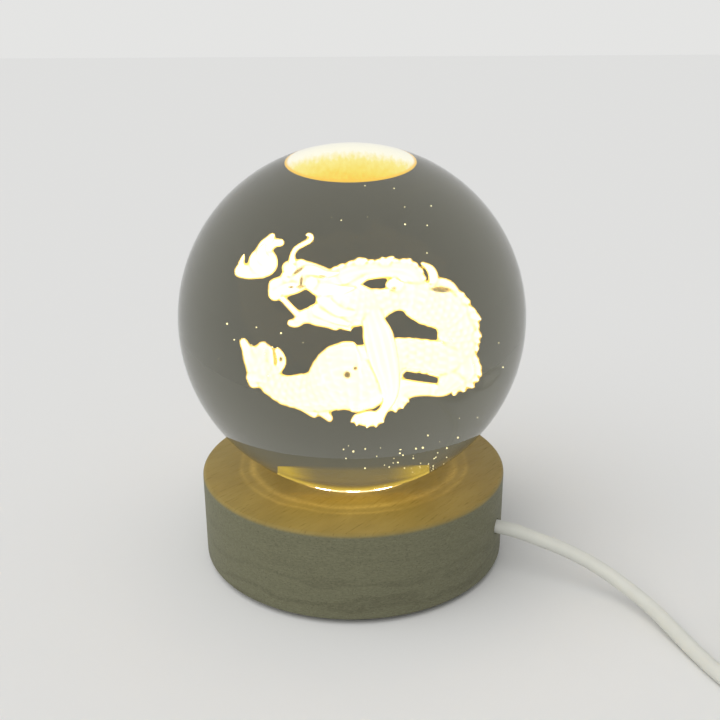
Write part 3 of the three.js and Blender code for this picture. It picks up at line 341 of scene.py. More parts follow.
def mixed(factor, a, b):
    return node(factor.id_data, "ShaderNodeMix", {0: factor, 6: a, 7: b}, data_type="RGBA").outputs[2]


def mixedShader(factor, a, b):
    return node(factor.id_data, "ShaderNodeMixShader", {0: factor, 1: a, 2: b}).outputs[0]


def bumped(shader, height, strength, distance):
    values = {"Height": height, "Strength": strength, "Distance": distance}
    fill(shader, {"Normal": node(height.id_data, "ShaderNodeBump", values).outputs["Normal"]})


def plastic(name, colour, roughness=0.4, grain=0.35, mottle=0.06, metallic=0.0):
    # A moulded or drawn surface: slight colour drift, uneven gloss and a fine skin
    material, tree, shader = newMaterial(name, {"Metallic": metallic})
    place = millimetres(tree)
    darker = tuple(c * (1 - mottle) for c in colour)
    low, high = max(roughness - 0.06, 0.02), roughness + 0.06
    fill(shader, {
        "Base Color": ramp(noiseOn(place, 0.35, 4), [(0.35, darker), (0.65, colour)]),
        "Roughness": ramp(noiseOn(place, 1.7, 3), [(0.3, low), (0.7, high)]),
    })
    bumped(shader, noiseOn(place, 6.0, 2), grain, 0.00004)
    return material


def scattered(name, places, material, inputs, unitOf):
    # Geometry Nodes: a unit on every place. Each named input has a kind and a value, and unitOf gives the
    # unit's geometry and its scale.
    group = bpy.data.node_groups.new(name, "GeometryNodeTree")
    for way in ("INPUT", "OUTPUT"):
        group.interface.new_socket("Geometry", in_out=way, socket_type="NodeSocketGeometry")
    values = {}
    for label, (kind, value) in inputs.items():
        values[group.interface.new_socket(label, in_out="INPUT", socket_type=kind).identifier] = value
    entry = node(group, "NodeGroupInput").outputs
    unit, scale = unitOf(group, entry)
    points = {"Points": entry["Geometry"], "Instance": unit, "Scale": scale}
    units = node(group, "GeometryNodeInstanceOnPoints", points).outputs["Instances"]
    real = node(group, "GeometryNodeRealizeInstances", {"Geometry": units}).outputs["Geometry"]
    paint = node(group, "GeometryNodeSetMaterial", {"Geometry": real, "Material": material})
    node(group, "NodeGroupOutput", {"Geometry": paint.outputs["Geometry"]})
    mesh = bpy.data.meshes.new(name)
    mesh.from_pydata(places, [], [])
    piece = modified(addObject(name, mesh), "NODES", node_group=group)
    for key, value in values.items():
        piece.modifiers[0][key] = value
    return baked(piece)


# Cord: its route, in millimetres from the mouth of its hole, repeats the model's. A knot in the switch is how
# far along it lies and how far above the switch's height.

cord = {
    "radius": 0.0016,
    "exitAngle": -23.0,
    "wallRadius": 0.03665,
    "exitHeight": 0.0114,
    "tuck": 0.0008,
    "route": [
        (4.6, -1.95, 11.1), (9.5, -4.1, 10.1), (13.9, -6.0, 9.1), (18.1, -7.9, 7.8), (22.0, -10.6, 6.5),
        (25.7, -14.1, 5.1), (30.6, -20.5, 3.2), (34.2, -29.3, 2.0), (36.3, -35.4, 1.6), (38.4, -41.3, 1.6),
        (41.4, -47.5, 1.6), (45.3, -53.3, 1.9),
    ],
    "coilPlace": (0.0669, -0.0418),
    "startAngle": 240.0,
    "endAngle": 350.0,
    "fullTurns": 9,
    "layers": 4,
    "midRadius": 0.0172,
    "gap": 0.0005,
    "lift": 0.0009,
    "stepsPerTurn": 24,
    "toSwitch": 0.025,
    "switchLength": 0.033,
    "switchHeight": 0.0046,
    "throughSwitch": [
        (-0.004, 0.0), (0.0, 0.0), (0.006, -0.0004), (0.0165, -0.0014), (0.027, -0.0004), (0.033, 0.0),
        (0.037, 0.0),
    ],
    "straight": 0.012,
    "turnRadius": 0.0105,
    "turnSteps": 8,
    "last": 0.003,
    "plugHeight": 0.0039,
}


def smoothstep(x, low, high):
    t = min(max((x - low) / (high - low), 0), 1)
    return t * t * (3 - 2 * t)


def exitWay(reach=1.0):
    turn = math.radians(cord["exitAngle"])
    return Vector((reach * math.cos(turn), reach * math.sin(turn), 0))


def exitMouth():
    return exitWay(cord["wallRadius"])


def coilTurns():
    return cord["fullTurns"] + (cord["endAngle"] - cord["startAngle"]) / 360


def coilPoint(turns):
    perLayer = coilTurns() / cord["layers"]
    pitch = 2 * cord["radius"] + cord["gap"]
    span = perLayer * pitch
    swing = abs((turns / perLayer) % 2 - 1)
    radius = cord["midRadius"] + span / 2 - span * (1 - swing)
    climbed = sum(smoothstep(turns - k * perLayer, -0.25, 0.25) for k in range(1, cord["layers"]))
    turn = math.radians(cord["startAngle"]) + turns * 2 * math.pi
    centre = exitMouth() + Vector((*cord["coilPlace"], 0))
    return centre + Vector((radius * math.cos(turn), radius * math.sin(turn),
                            cord["lift"] + cord["radius"] + climbed * pitch))


def cordLine():
    # Points of the whole cord, and the places that the switch and the plug take on it
    whole, radius, high, bend = coilTurns(), cord["radius"], cord["switchHeight"], cord["turnRadius"]
    mouth = exitMouth()
    points = [lifted(mouth - exitWay() * cord["tuck"], cord["exitHeight"])]
    points += [mouth + Vector(place) * mm for place in cord["route"]]
    step = 1 / 96
    first, last = coilPoint(0), coilPoint(whole)
    startRun = lifted(coilPoint(step) - first, 0).normalized()
    points += [first - startRun * 4 * radius, first - startRun * 2 * radius]
    steps = round(whole * cord["stepsPerTurn"])
    points += [coilPoint(i / steps * whole) for i in range(steps + 1)]
    run = lifted(last - coilPoint(whole - step), 0).normalized()
    side = Vector((-run.y, run.x, 0))
    end = last + run * 2 * radius
    start = lifted(end, 0) + run * cord["toSwitch"]
    points += [end, lifted(end.lerp(start, 0.5), (end.z + high) / 2)]
    points += [lifted(start + run * along, high + rise) for along, rise in cord["throughSwitch"]]
    turnStart = start + run * (cord["switchLength"] + cord["straight"])
    for i in range(cord["turnSteps"] + 1):
        share = i / cord["turnSteps"]
        turn = math.pi * share
        spot = turnStart + side * bend * (1 - math.cos(turn)) + run * bend * math.sin(turn)
        points.append(lifted(spot, high + (cord["plugHeight"] - high) * share))
    plugTip = turnStart + side * 2 * bend - run * cord["last"]
    points += [lifted(plugTip - run * along, cord["plugHeight"]) for along in (0, cord["last"])]
    return points, start + run * cord["switchLength"] / 2, plugTip, run


def makeCord(points, material):
    curve = bpy.data.curves.new("supplyCord", "CURVE")
    curve.dimensions = "3D"
    spline = curve.splines.new("BEZIER")
    spline.bezier_points.add(len(points) - 1)
    for knot, place in zip(spline.bezier_points, points):
        knot.co = place
        knot.handle_left_type = knot.handle_right_type = "AUTO"
    spline.resolution_u = 4
    curve.bevel_depth = cord["radius"]
    curve.bevel_resolution = 6
    curve.use_fill_caps = True
    return addObject("supplyCord", curve, material)


cordPoints, switchMiddle, plugStart, tailRun = cordLine()
cordSheath = plastic("cordSheath", (0.68, 0.685, 0.63), roughness=0.38, grain=0.15, mottle=0.03)
supplyCord = makeCord(cordPoints, cordSheath)
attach(supplyCord, "base")
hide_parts("cord_run", "cord_coil", "cord_tail_1", "cord_tail_2")

# Wooden base

base = {
    "radius": 0.03665,
    "bottom": 0.001,
    "top": 0.0221,
    "edge": 0.0009,
    "edgeSteps": 6,
    "seatRadius": 0.0177,
    "seatDrop": 0.00057,
    "wellRadius": 0.0165,
    "ledge": 0.0148,
    "pocketRadius": 0.025,
    "recessRadius": 0.0323,
    "recessTop": 0.003,
    "sides": 192,
    "grainTurn": -0.9,
    "holeRadius": 0.0019,
    "holeReach": (0.024, 0.038),
}

# Lamp light painted on the wood as emission: heights and radii in millimetres, and the strengths of its parts
paintedLampLight = {
    "colour": (1.0, 0.66, 0.16),
    "faceHeight": 21.95,
    "insideRadius": 17.72,
    "wallRadius": 16.6,
    "wallTop": 21.5,
    "wallFoot": 14.81,
    "rings": [
        (0.46, 0.8), (0.49, 0.34), (0.605, 0.22), (0.640, 0.62), (0.668, 0.22),
        (0.690, 0.24), (0.706, 0.44), (0.728, 0.12), (0.92, 0.05),
    ],
    "ringStrength": 0.40,
    "seatStrength": 1.2,
    "wallStrength": 2.0,
}


def baseProfile(b):
    rounding = [(1 - math.sin(turn), 1 - math.cos(turn)) for turn in quarter(b["edgeSteps"])]
    radius, edge = b["radius"], b["edge"]
    return [
        (b["recessRadius"], b["bottom"]),
        *[(radius - edge * across, b["bottom"] + edge * along) for across, along in rounding],
        *[(radius - edge * along, b["top"] - edge * across) for across, along in rounding],
        (b["seatRadius"], b["top"]),
        (b["wellRadius"], b["top"] - b["seatDrop"]),
        (b["wellRadius"], b["ledge"]),
        (b["pocketRadius"], b["ledge"]),
        (b["pocketRadius"], b["recessTop"]),
        (b["recessRadius"], b["recessTop"]),
    ]


def lampLitTopGrain(tree):
    # Top face in painted lamp light, honey-coloured: a smooth field with short thin fibre dashes
    turn = base["grainTurn"]
    dashes = noiseOn(millimetres(tree, turn, (0.16, 1.5, 1.0)), 1.6, 3, 0.55)
    cloud = noiseOn(millimetres(tree, turn, (0.25, 0.6, 1.0)), 0.35, 3, 0.5)
    field = ramp(cloud, [(0.3, (0.26, 0.188, 0.046)), (0.7, (0.31, 0.228, 0.06))])
    thin = ramp(dashes, [(0.30, 1), (0.40, 0)])
    return mixed(times(thin, 0.5), field, (0.14, 0.095, 0.02)), dashes


def shadedSideGrain(tree, height):
    # Rim in painted shade, darker grey-beige: wavy dark growth bands low down, long faint fibres and fine
    # pores
    warp = noiseOn(millimetres(tree, 0.4, (0.055, 0.055, 0.25)), 1.0, 2, 0.5)
    wave = mathOn("SINE", times(plus(height, times(warp, 11.0)), 1.35))
    band = ramp(plus(times(wave, 0.5), 0.5), [(0.0, 0), (0.50, 0.06), (0.90, 0.8), (1.0, 1)])
    low = ramp(over(height, 22.0), [(0.25, 1), (0.75, 0.25)])
    fibres = noiseOn(millimetres(tree, 0.0, (0.6, 0.6, 2.2)), 1.9, 4, 0.65)
    pores = noiseOn(millimetres(tree), 2.6, 3, 0.65)
    field = ramp(fibres, [(0.32, (0.125, 0.123, 0.068)), (0.68, (0.183, 0.182, 0.106))])
    broken = times(ramp(fibres, [(0.35, 1), (0.70, 0.35)]), 0.55)
    banded = mixed(times(times(band, low), broken), field, (0.085, 0.08, 0.042))
    specked = ramp(pores, [(0.35, 1), (0.43, 0)])
    return mixed(times(specked, 0.5), banded, (0.07, 0.063, 0.035)), fibres


def paintedLampGlow(tree, height, far):
    # Painted lamp light from the well, glowing on the wood: rings on the top face, the lit seat and the
    # well's bright wall
    light = paintedLampLight
    drift = noiseOn(millimetres(tree), 0.11, 2)
    rings = ramp(over(plus(far, times(drift, 1.6)), 40.0), light["rings"])
    patches = ramp(noiseOn(millimetres(tree), 0.07, 2), [(0.36, 0.45), (0.62, 1)])
    face = times(rings, patches, above(height, light["faceHeight"]), light["ringStrength"])
    inside = below(far, light["insideRadius"])
    fade = ramp(over(height, 22.0), [(0.70, 1), (0.96, 0.03)])
    low = times(below(far, light["wallRadius"]), below(height, light["wallTop"]))
    wall = times(low, fade, light["wallStrength"])
    lit = mathOn("MAXIMUM", wall, times(inside, light["seatStrength"]))
    well = times(lit, times(inside, above(height, light["wallFoot"])))
    streak = noiseOn(millimetres(tree, 0.0, (1.0, 1.0, 0.04)), 1.5, 3, 0.6)
    return times(mathOn("MAXIMUM", face, well), ramp(streak, [(0.3, 0.62), (0.65, 1)]))


def woodMaterial():
    material, tree, shader = newMaterial("turnedWood", {"Emission Color": paintedLampLight["colour"]})
    x, y, height = apart(millimetres(tree))
    lampLitTopColour, dashes = lampLitTopGrain(tree)
    shadedSideColour, fibres = shadedSideGrain(tree, height)
    # Painted light and shade: the top face takes the lamp-lit honey colour, the side the darker shaded
    # grey-beige
    top = ramp(over(height, base["top"] / mm), [(0.955, 0), (0.985, 1)])
    fill(shader, {
        "Base Color": mixed(top, shadedSideColour, lampLitTopColour),
        "Roughness": ramp(dashes, [(0.3, 0.66), (0.7, 0.52)]),
        # Painted light: the wood glows where the lamps would light it
        "Emission Strength": paintedLampGlow(tree, height, fromAxis(x, y)),
    })
    bumped(shader, fibres, 0.3, 0.00006)
    return material


turnedWood = woodMaterial()
woodBase = painted(lathe("woodBase", baseProfile(base), base["sides"]), turnedWood)
holeEnds = [lifted(exitWay() * reach, cord["exitHeight"]) for reach in base["holeReach"]]
sharpened(cutAway(woodBase, [rod(*holeEnds, base["holeRadius"], 32)]), 35)
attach(woodBase, "base")
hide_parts("wood_base")
print("base made")

# Underside: cover, its screws and the feet

underside = {
    "coverRadius": 0.032,
    "coverLow": 0.001,
    "coverHigh": 0.003,
    "coverEdge": 0.00045,
    "coverSides": 160,
    "sinkRadii": (0.0025, 0.0013),
    "sinkDepth": 0.0012,
    "cutterSides": 48,
    "footRadius": 0.0045,
    "footHigh": 0.0015,
    "footEdge": 0.0004,
    "footSides": 64,
    "footDish": (0.0026, 0.0002),
    "recessRadius": 0.0048,
    "recessDepth": 0.0005,
    "headRadius": 0.0022,
    "headHeight": 0.0012,
    "headEdge": 0.0001,
    "shankRadius": 0.001,
    "threadRoot": 0.0008,
    "threadTurns": 18,
    "screwLength": 0.009,
    "pointLength": 0.0015,
    "screwSides": 40,
    "slot": (0.0017, 0.0003, 0.0005),
}


def middleOf(name):
    solid = nodes[name]
    corners = [solid.matrix_world @ Vector(corner) for corner in solid.bound_box]
    return lifted(sum(corners, Vector()) / 8, 0)


def makeCover(screwPlaces, footPlaces, material):
    u = underside
    low, high = u["coverLow"], u["coverHigh"]
    disc = rod((0, 0, low), (0, 0, high), u["coverRadius"], u["coverSides"], "bottomCover")
    cover = softened(disc, u["coverEdge"], segments=4)
    (wide, narrow), brim = u["sinkRadii"], high + u["sinkDepth"]
    floor, recess = low + u["recessDepth"], u["recessRadius"]
    sink = [(0.0, 0.0), (wide, 0.0), (wide, low), (narrow, low + u["sinkDepth"]), (narrow, brim), (0.0, brim)]
    dish = [(0.0, 0.0), (recess, 0.0), (recess, floor), (0.0, floor)]
    tools = []
    for places, cutter in ((screwPlaces, sink), (footPlaces, dish)):
        for place in places:
            tools.append(placeMesh(lathe("cutter", cutter, u["cutterSides"]), Matrix.Translation(place)))
    return painted(sharpened(cutAway(cover, tools), 30), material)


def footUnit():
    u = underside
    radius, rise = u["footDish"]
    outer, edge = u["footRadius"], u["footEdge"]
    profile = [(0.0, rise), (radius - 2 * rise, rise), (radius, 0.0)]
    profile += [(outer - edge * (1 - math.sin(t)), edge * (1 - math.cos(t))) for t in quarter(5)]
    profile += [(outer, u["footHigh"]), (0.0, u["footHigh"])]
    return lathe("foot", profile, u["footSides"])


def coverScrewUnit():
    u = underside
    head, shank, low, root = u["headRadius"], u["shankRadius"], u["coverLow"], u["threadRoot"]
    neck = low + u["headHeight"]
    pitch = (u["screwLength"] - u["pointLength"] - u["headHeight"]) / u["threadTurns"]
    profile = [(0.0, low), (head - u["headEdge"], low), (head, low + u["headEdge"]), (shank, neck)]
    for i in range(u["threadTurns"]):
        profile += [(root, neck + pitch * (i + 0.25)), (shank, neck + pitch * (i + 0.75))]
    profile += [(root, low + u["screwLength"] - u["pointLength"]), (0.0, low + u["screwLength"])]
    screw = lathe("coverScrew", profile, u["screwSides"])
    reach, half, deep = u["slot"]
    sizes = ((reach, half), (half, reach))
    tools = [box((-wide, -long, low - deep), (wide, long, low + deep)) for wide, long in sizes]
    return sharpened(cutAway(screw, tools), 30)


def setOnPlaces(name, unit, places, material):
    def givenUnit(group, entry):
        info = node(group, "GeometryNodeObjectInfo", {"Object": entry["Unit"]})
        return info.outputs["Geometry"], entry["Size"]

    inputs = {"Unit": ("NodeSocketObject", unit), "Size": ("NodeSocketFloat", 1.0)}
    piece = scattered(name, places, material, inputs, givenUnit)
    bpy.data.objects.remove(unit)
    return piece


screwNames = ["cover_screw_1", "cover_screw_2", "cover_screw_3"]
footNames = ["foot_1", "foot_2", "foot_3", "foot_4"]
screwPlaces = [middleOf(name) for name in screwNames]
footPlaces = [middleOf(name) for name in footNames]
blackCover = plastic("blackCover", (0.035, 0.035, 0.037), roughness=0.5, grain=0.6)
blackRubber = plastic("blackRubber", (0.03, 0.03, 0.03), roughness=0.75, grain=0.5)
zincSteel = plastic("zincSteel", (0.60, 0.61, 0.62), roughness=0.28, grain=0.08, metallic=1.0)
undersidePieces = [
    (makeCover(screwPlaces, footPlaces, blackCover), ["bottom_cover"], "cover"),
    (setOnPlaces("rubberFeet", footUnit(), footPlaces, blackRubber), footNames, "rubber"),
    (setOnPlaces("coverScrews", coverScrewUnit(), screwPlaces, zincSteel), screwNames, "steel"),
]
for made, replaced, slot in undersidePieces:
    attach(made, "base")
    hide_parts(*replaced)
print("underside made")

# Glass ball

ball = {
    "radius": 0.040,
    "centre": (0, 0, 0.0583081),
    "sidesAround": 160,
    "sidesUp": 96,
}


def glassMaterial():
    material, tree, shader = newMaterial("polishedGlass", {
        "Base Color": (0.90, 0.95, 0.95),
        "Roughness": 0.0,
        "IOR": 1.517,
        "Transmission Weight": 1.0,
    })
    clear = node(tree, "ShaderNodeBsdfTransparent", {"Color": (0.80, 0.81, 0.80)}).outputs[0]
    shadowRay = node(tree, "ShaderNodeLightPath").outputs["Is Shadow Ray"]
    absorb = node(tree, "ShaderNodeVolumeAbsorption", {"Color": (0.42, 0.395, 0.31), "Density": 41.0})
    output = next(n for n in tree.nodes if n.type == "OUTPUT_MATERIAL")
    fill(output, {"Surface": mixedShader(shadowRay, shader.outputs[0], clear), "Volume": absorb.outputs[0]})
    return material


def ballMesh():
    bm = bmesh.new()
    around, upwards = ball["sidesAround"], ball["sidesUp"]
    bmesh.ops.create_uvsphere(bm, u_segments=around, v_segments=upwards, radius=ball["radius"])
    bmesh.ops.translate(bm, verts=bm.verts, vec=ball["centre"])
    return meshOf(bm, bpy.data.meshes.new("glassBall"), smooth=True)


polishedGlass = glassMaterial()
glassBall = addObject("glassBall", ballMesh(), polishedGlass)
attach(glassBall, "ball")
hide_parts("crystal_ball")
print("ball made")

# Engraved figure. A station is (right, back, up, radius) in millimetres from the ball's centre, where up is
# the height at which the camera, which looks down, sees it in the plane through the centre.

figure = {
    "lean": math.tan(cameraSpot["pitch"]),
    "voxel": 0.00022,
    "fringe": 0.00020,
    "fringeVoxel": 0.00028,
    "scalePitch": 1.15,
    "scaleHeight": 0.26,
    "scaleWidth": 1.1,
    "scaleCurve": 0.7,
    "leastScales": 6,
    "bodySides": 44,
    "bodySpacing": 0.35,
    "lockSides": 10,
    "lockSpacing": 0.4,
    "clawSides": 8,
    "clawSpacing": 0.3,
    "clawBend": 0.55,
    "clawArch": (0, -0.3, 0.25),
    "clawTaper": (0.72, 0.18),
    "spikeRadii": (0.62, 0.42, 0.1),
    "spikeRoot": 0.7,
    "spikeBend": 0.45,
    "spikeLean": (0.15, 0.7),
    "capSteps": [(0.8, 0.6), (0.45, 0.88)],
}

bodyStations = [
    (-3.0, -1.6, 3.5, 2.6), (-0.6, -1.8, 2.4, 3.3), (2.6, -1.4, 1.9, 2.8), (6.2, -0.6, 3.0, 1.75),
    (9.0, 0.2, 3.5, 2.7), (11.6, 1.4, 2.2, 3.0), (14.0, 2.5, 1.5, 3.1), (15.4, 3.2, -0.2, 2.9),
    (15.6, 3.4, -2.6, 2.75), (15.3, 3.2, -5.0, 2.7), (13.8, 1.8, -6.2, 2.45), (10.4, 0.6, -5.8, 2.3),
    (6.6, -0.6, -5.9, 2.5),
    (2.0, -1.6, -9.1, 5.0), (-1.6, -2.0, -9.7, 5.2), (-5.4, -1.2, -11.5, 3.2), (-8.2, -0.4, -11.5, 2.5),
    (-10.6, 0.2, -11.0, 2.0), (-12.8, 0.8, -9.4, 1.6), (-14.3, 1.0, -7.2, 1.7), (-14.6, 1.0, -5.4, 1.1),
]

headForms = [
    [(-3.8, -1.9, 5.3, 2.4), (-6.4, -2.0, 6.8, 2.1), (-8.4, -2.0, 7.0, 2.3), (-9.4, -2.0, 6.6, 1.7)],
    [(-8.6, -2.0, 5.9, 1.6), (-10.4, -2.0, 5.2, 1.5), (-11.6, -2.0, 5.2, 1.3), (-12.0, -2.0, 4.4, 1.1)],
    [(-4.4, -1.9, 1.2, 1.5), (-6.2, -2.0, 0.3, 1.0), (-7.6, -2.0, 0.2, 0.95), (-8.4, -2.0, -0.3, 0.6)],
    [(-7.6, -2.0, 0.0, 0.6), (-8.6, -2.0, -0.9, 0.5), (-9.6, -2.0, -0.8, 0.45)],
    [(-5.6, -1.8, 0.5, 1.6), (-2.2, -1.9, -0.2, 1.4), (1.6, -1.6, 0.3, 1.3)],
    [(-7.8, -2.0, -0.1, 0.5), (-8.8, -2.0, 0.9, 0.4), (-10.0, -2.0, 2.2, 0.38), (-11.2, -2.0, 3.5, 0.35)],
    [(-9.4, -2.2, 8.4, 0.7), (-9.4, -2.2, 10.2, 0.34), (-8.9, -2.0, 11.4, 0.31), (-7.5, -1.6, 12.3, 0.32),
     (-6.6, -1.4, 12.8, 0.32), (-6.3, -1.2, 13.4, 0.3), (-6.7, -1.1, 13.8, 0.28), (-7.1, -1.1, 13.7, 0.2)],
    [(-7.8, -3.4, 7.6, 0.8), (-6.0, -3.9, 7.8, 0.7), (-4.0, -4.4, 7.1, 0.5), (-2.0, -4.8, 7.4, 0.2)],
    [(-7.8, -0.6, 8.4, 0.8), (-6.2, 0.2, 8.1, 0.7), (-4.0, 0.8, 7.2, 0.5), (-2.0, 1.0, 7.8, 0.2)],
    [(-9.2, -3.9, 4.9, 0.9), (-10.6, -3.4, 4.7, 0.8), (-11.9, -2.9, 4.3, 0.6)],
    [(-9.2, -0.1, 5.1, 0.9), (-10.6, -0.6, 4.9, 0.8), (-11.9, -1.1, 4.5, 0.6)],
]
headBeads = [
    (-9.8, -3.4, 7.9, 1.0), (-9.8, -0.6, 8.2, 1.0), (-8.0, -2.0, 8.4, 1.1), (-6.6, -1.8, 7.9, 1.0),
    (-12.1, -2.6, 3.9, 0.95), (-12.0, -1.4, 4.0, 0.95), (-12.2, -2.0, 5.4, 0.8), (-3.7, -2.4, 2.7, 1.2),
    (-6.4, -4.2, 5.6, 1.0), (-6.4, 0.4, 5.8, 1.0), (-5.6, -2.0, 1.6, 0.55), (-7.2, -2.0, 1.0, 0.4),
]

maneForms = [
    [(-5.4, -1.6, 6.3, 1.5), (-2.6, -1.5, 6.3, 1.5), (0.4, -1.2, 7.35, 1.55), (3.4, -0.8, 7.75, 1.25),
     (6.4, -0.2, 7.95, 1.25), (8.6, 0.2, 7.5, 1.55), (10.0, 0.6, 6.0, 1.15)],
    [(12.3, 2.0, 4.6, 0.6), (12.5, 2.0, 5.8, 0.6), (12.5, 1.9, 6.9, 0.65), (12.2, 1.8, 7.8, 0.55),
     (11.6, 1.7, 8.4, 0.38), (10.8, 1.6, 8.9, 0.18)],
    [(12.6, 2.2, 5.7, 0.6), (13.8, 2.5, 5.6, 0.75), (14.8, 2.7, 5.2, 0.7), (15.6, 2.9, 4.3, 0.6)],
    [(-4.3, -3.8, 2.6, 1.0), (-2.0, -4.9, 0.9, 0.8), (0.4, -5.2, 0.6, 0.2)],
    [(-5.6, -3.8, 4.9, 1.1), (-2.2, -5.0, 4.4, 0.8), (0.4, -5.0, 4.8, 0.2)],
    [(-5.6, 1.0, 5.2, 1.1), (-2.2, 2.0, 6.0, 0.8), (0.4, 2.2, 6.6, 0.2)],
    [(-5.4, -3.6, 1.2, 1.0), (-2.8, -4.4, -0.2, 0.8), (-0.6, -4.2, -1.2, 0.3)],
    [(-4.2, 0.6, 2.4, 0.9), (-2.0, 1.6, 1.2, 0.8), (0.4, 1.6, 0.2, 0.25)],
    [(-4.6, -2.0, 0.0, 0.9), (-3.4, -2.1, -1.0, 0.6), (-2.5, -2.2, -1.8, 0.22)],
    [(-2.4, -2.0, -0.4, 0.9), (-1.2, -2.1, -1.3, 0.55), (-0.3, -2.2, -1.9, 0.22)],
    [(-1.0, -1.6, 5.0, 1.0), (0.8, -2.4, 5.7, 0.6), (2.4, -2.6, 6.6, 0.25)],
    [(7.6, -0.8, 4.6, 0.9), (6.5, -1.2, 5.6, 0.8), (5.8, -1.2, 5.3, 0.5)],
]

legForms = [
    [(2.8, -2.2, 1.4, 2.0), (3.4, -3.6, -0.8, 1.75), (4.1, -4.6, -3.2, 2.3), (5.0, -5.2, -7.2, 2.2),
     (5.8, -5.6, -11.0, 1.6), (5.8, -5.8, -13.4, 1.0), (4.9, -6.0, -15.3, 0.6), (3.9, -6.0, -16.5, 0.95),
     (2.7, -6.0, -16.7, 1.15), (1.7, -5.8, -16.7, 1.0)],
    [(14.8, 2.4, -9.0, 2.2), (13.2, 1.4, -11.15, 0.9), (11.4, 0.6, -11.15, 0.9), (9.4, -0.4, -11.2, 1.1),
     (7.6, -1.2, -11.5, 1.6), (6.6, -1.8, -12.7, 1.8), (6.2, -2.2, -13.2, 1.6)],
    [(-1.0, 0.6, -10.6, 1.8), (-3.4, 0.4, -12.8, 1.4), (-4.6, 0.4, -13.7, 1.1)],
    [(15.5, 3.4, -6.0, 2.75), (15.8, 3.4, -7.9, 2.8), (15.4, 3.2, -9.0, 1.9)],
    [(-14.2, 1.0, -8.0, 1.6), (-15.3, 0.9, -6.2, 1.1), (-16.1, 0.8, -4.6, 0.65), (-16.6, 0.8, -3.6, 0.5)],
    [(-14.2, 1.0, -7.4, 1.6), (-14.0, 1.0, -5.6, 1.2), (-13.6, 0.8, -4.4, 0.75)],
    [(-13.2, 1.0, -8.2, 1.3), (-12.8, 1.0, -6.4, 0.85), (-12.8, 1.0, -4.8, 0.6)],
    [(-12.0, 1.0, -9.0, 0.6), (-11.2, 0.9, -7.8, 0.5), (-10.8, 0.9, -7.0, 0.62), (-10.9, 0.8, -6.0, 0.58),
     (-11.4, 0.8, -5.0, 0.4)],
    [(-14.8, 0.9, -5.6, 0.8), (-15.2, 0.9, -4.8, 0.5)],
    [(-12.4, 0.9, -8.6, 1.4), (-14.5, 0.9, -9.0, 1.6), (-14.7, 0.9, -9.8, 0.9)],
    [(0.8, -5.8, -16.7, 0.75), (2.4, -6.4, -17.0, 0.75), (3.9, -6.0, -16.8, 0.75)],
    [(-8.2, -0.6, -13.2, 0.8), (-7.0, -0.6, -14.2, 0.55), (-5.8, -0.6, -15.1, 0.42)],
    [(-5.4, 0.0, -14.0, 0.8), (-4.4, 0.0, -14.8, 0.55), (-3.5, 0.0, -15.6, 0.42)],
]

clawRows = [
    ((6.4, -2.4, -13.4), [(5.2, -3.0, -15.1), (6.6, -3.2, -15.2), (7.8, -3.0, -14.6),
                          (8.6, -2.8, -13.4)], 0.8),
    ((1.0, -6.0, -16.8), [(-0.2, -6.3, -17.3), (0.6, -6.8, -18.0)], 0.6),
    ((3.4, -6.0, -16.8), [(2.2, -6.8, -18.3), (3.7, -6.6, -18.2), (4.9, -6.2, -17.4)], 0.65),
    ((15.4, 3.2, -9.2), [(18.5, 3.0, -9.4), (17.7, 3.0, -10.5), (16.3, 3.0, -11.1), (14.8, 3.0, -11.6),
                         (13.2, 2.0, -11.6)], 1.1),
    ((12.2, 0.6, -10.9), [(11.9, 0.2, -12.2), (9.4, 0.0, -12.1)], 0.6),
    ((16.8, 3.2, -6.8), [(18.9, 3.0, -7.6), (18.9, 3.0, -8.7), (18.6, 3.0, -6.4)], 1.1),
    ((15.7, 2.8, 2.6), [(17.0, 2.8, 3.9), (17.8, 2.8, 2.6)], 1.0),
    ((16.6, 3.0, 0.6), [(18.5, 3.0, 1.3), (19.3, 3.0, -0.1), (18.8, 3.2, -1.0)], 1.1),
    ((16.9, 3.4, -2.7), [(19.2, 3.4, -2.7), (18.8, 3.4, -3.6)], 1.0),
    ((1.0, -1.2, 8.4), [(1.3, -1.2, 9.8), (2.4, -1.2, 9.5)], 0.7),
    ((5.0, -0.8, 8.4), [(4.8, -0.8, 9.9), (6.7, -0.6, 10.0)], 0.6),
    ((8.6, 0.2, 8.2), [(9.2, 0.2, 9.6), (7.8, 0.0, 9.3)], 0.7),
    ((9.8, 0.6, 6.4), [(10.9, 0.8, 7.6), (11.4, 0.8, 6.3)], 0.8),
]

# Rows of spikes: their path, count, start and end as shares of it, reach, and the middle they point away from
crests = [
    (bodyStations, 22, 0.27, 0.62, 0.35, (8, 0, -3)),
    (maneForms[0], 12, 0.2, 0.95, 0.3, (4, 0, 0)),
]

pearlForms = [
    [(-14.1, -0.6, 10.3, 1.35), (-13.7, -0.6, 11.9, 1.0), (-13.1, -0.6, 12.9, 0.65),
     (-12.6, -0.6, 13.7, 0.38)],
    [(-13.4, -0.6, 11.6, 0.9), (-12.4, -0.6, 12.4, 0.6), (-11.2, -0.6, 12.5, 0.5)],
    [(-16.0, -0.6, 7.7, 1.0), (-17.2, -0.6, 8.1, 0.75), (-17.5, -0.6, 9.1, 0.38), (-17.1, -0.6, 10.6, 0.16)],
    [(-14.2, -0.6, 8.1, 1.4), (-16.2, -0.6, 7.6, 1.0), (-17.6, -0.6, 7.8, 0.9)],
    [(-13.8, -2.0, 9.4, 1.0), (-14.6, -2.6, 10.8, 0.7), (-14.0, -2.4, 12.2, 0.25)],
]
pearlBead = (-13.95, -0.6, 9.2, 2.2)


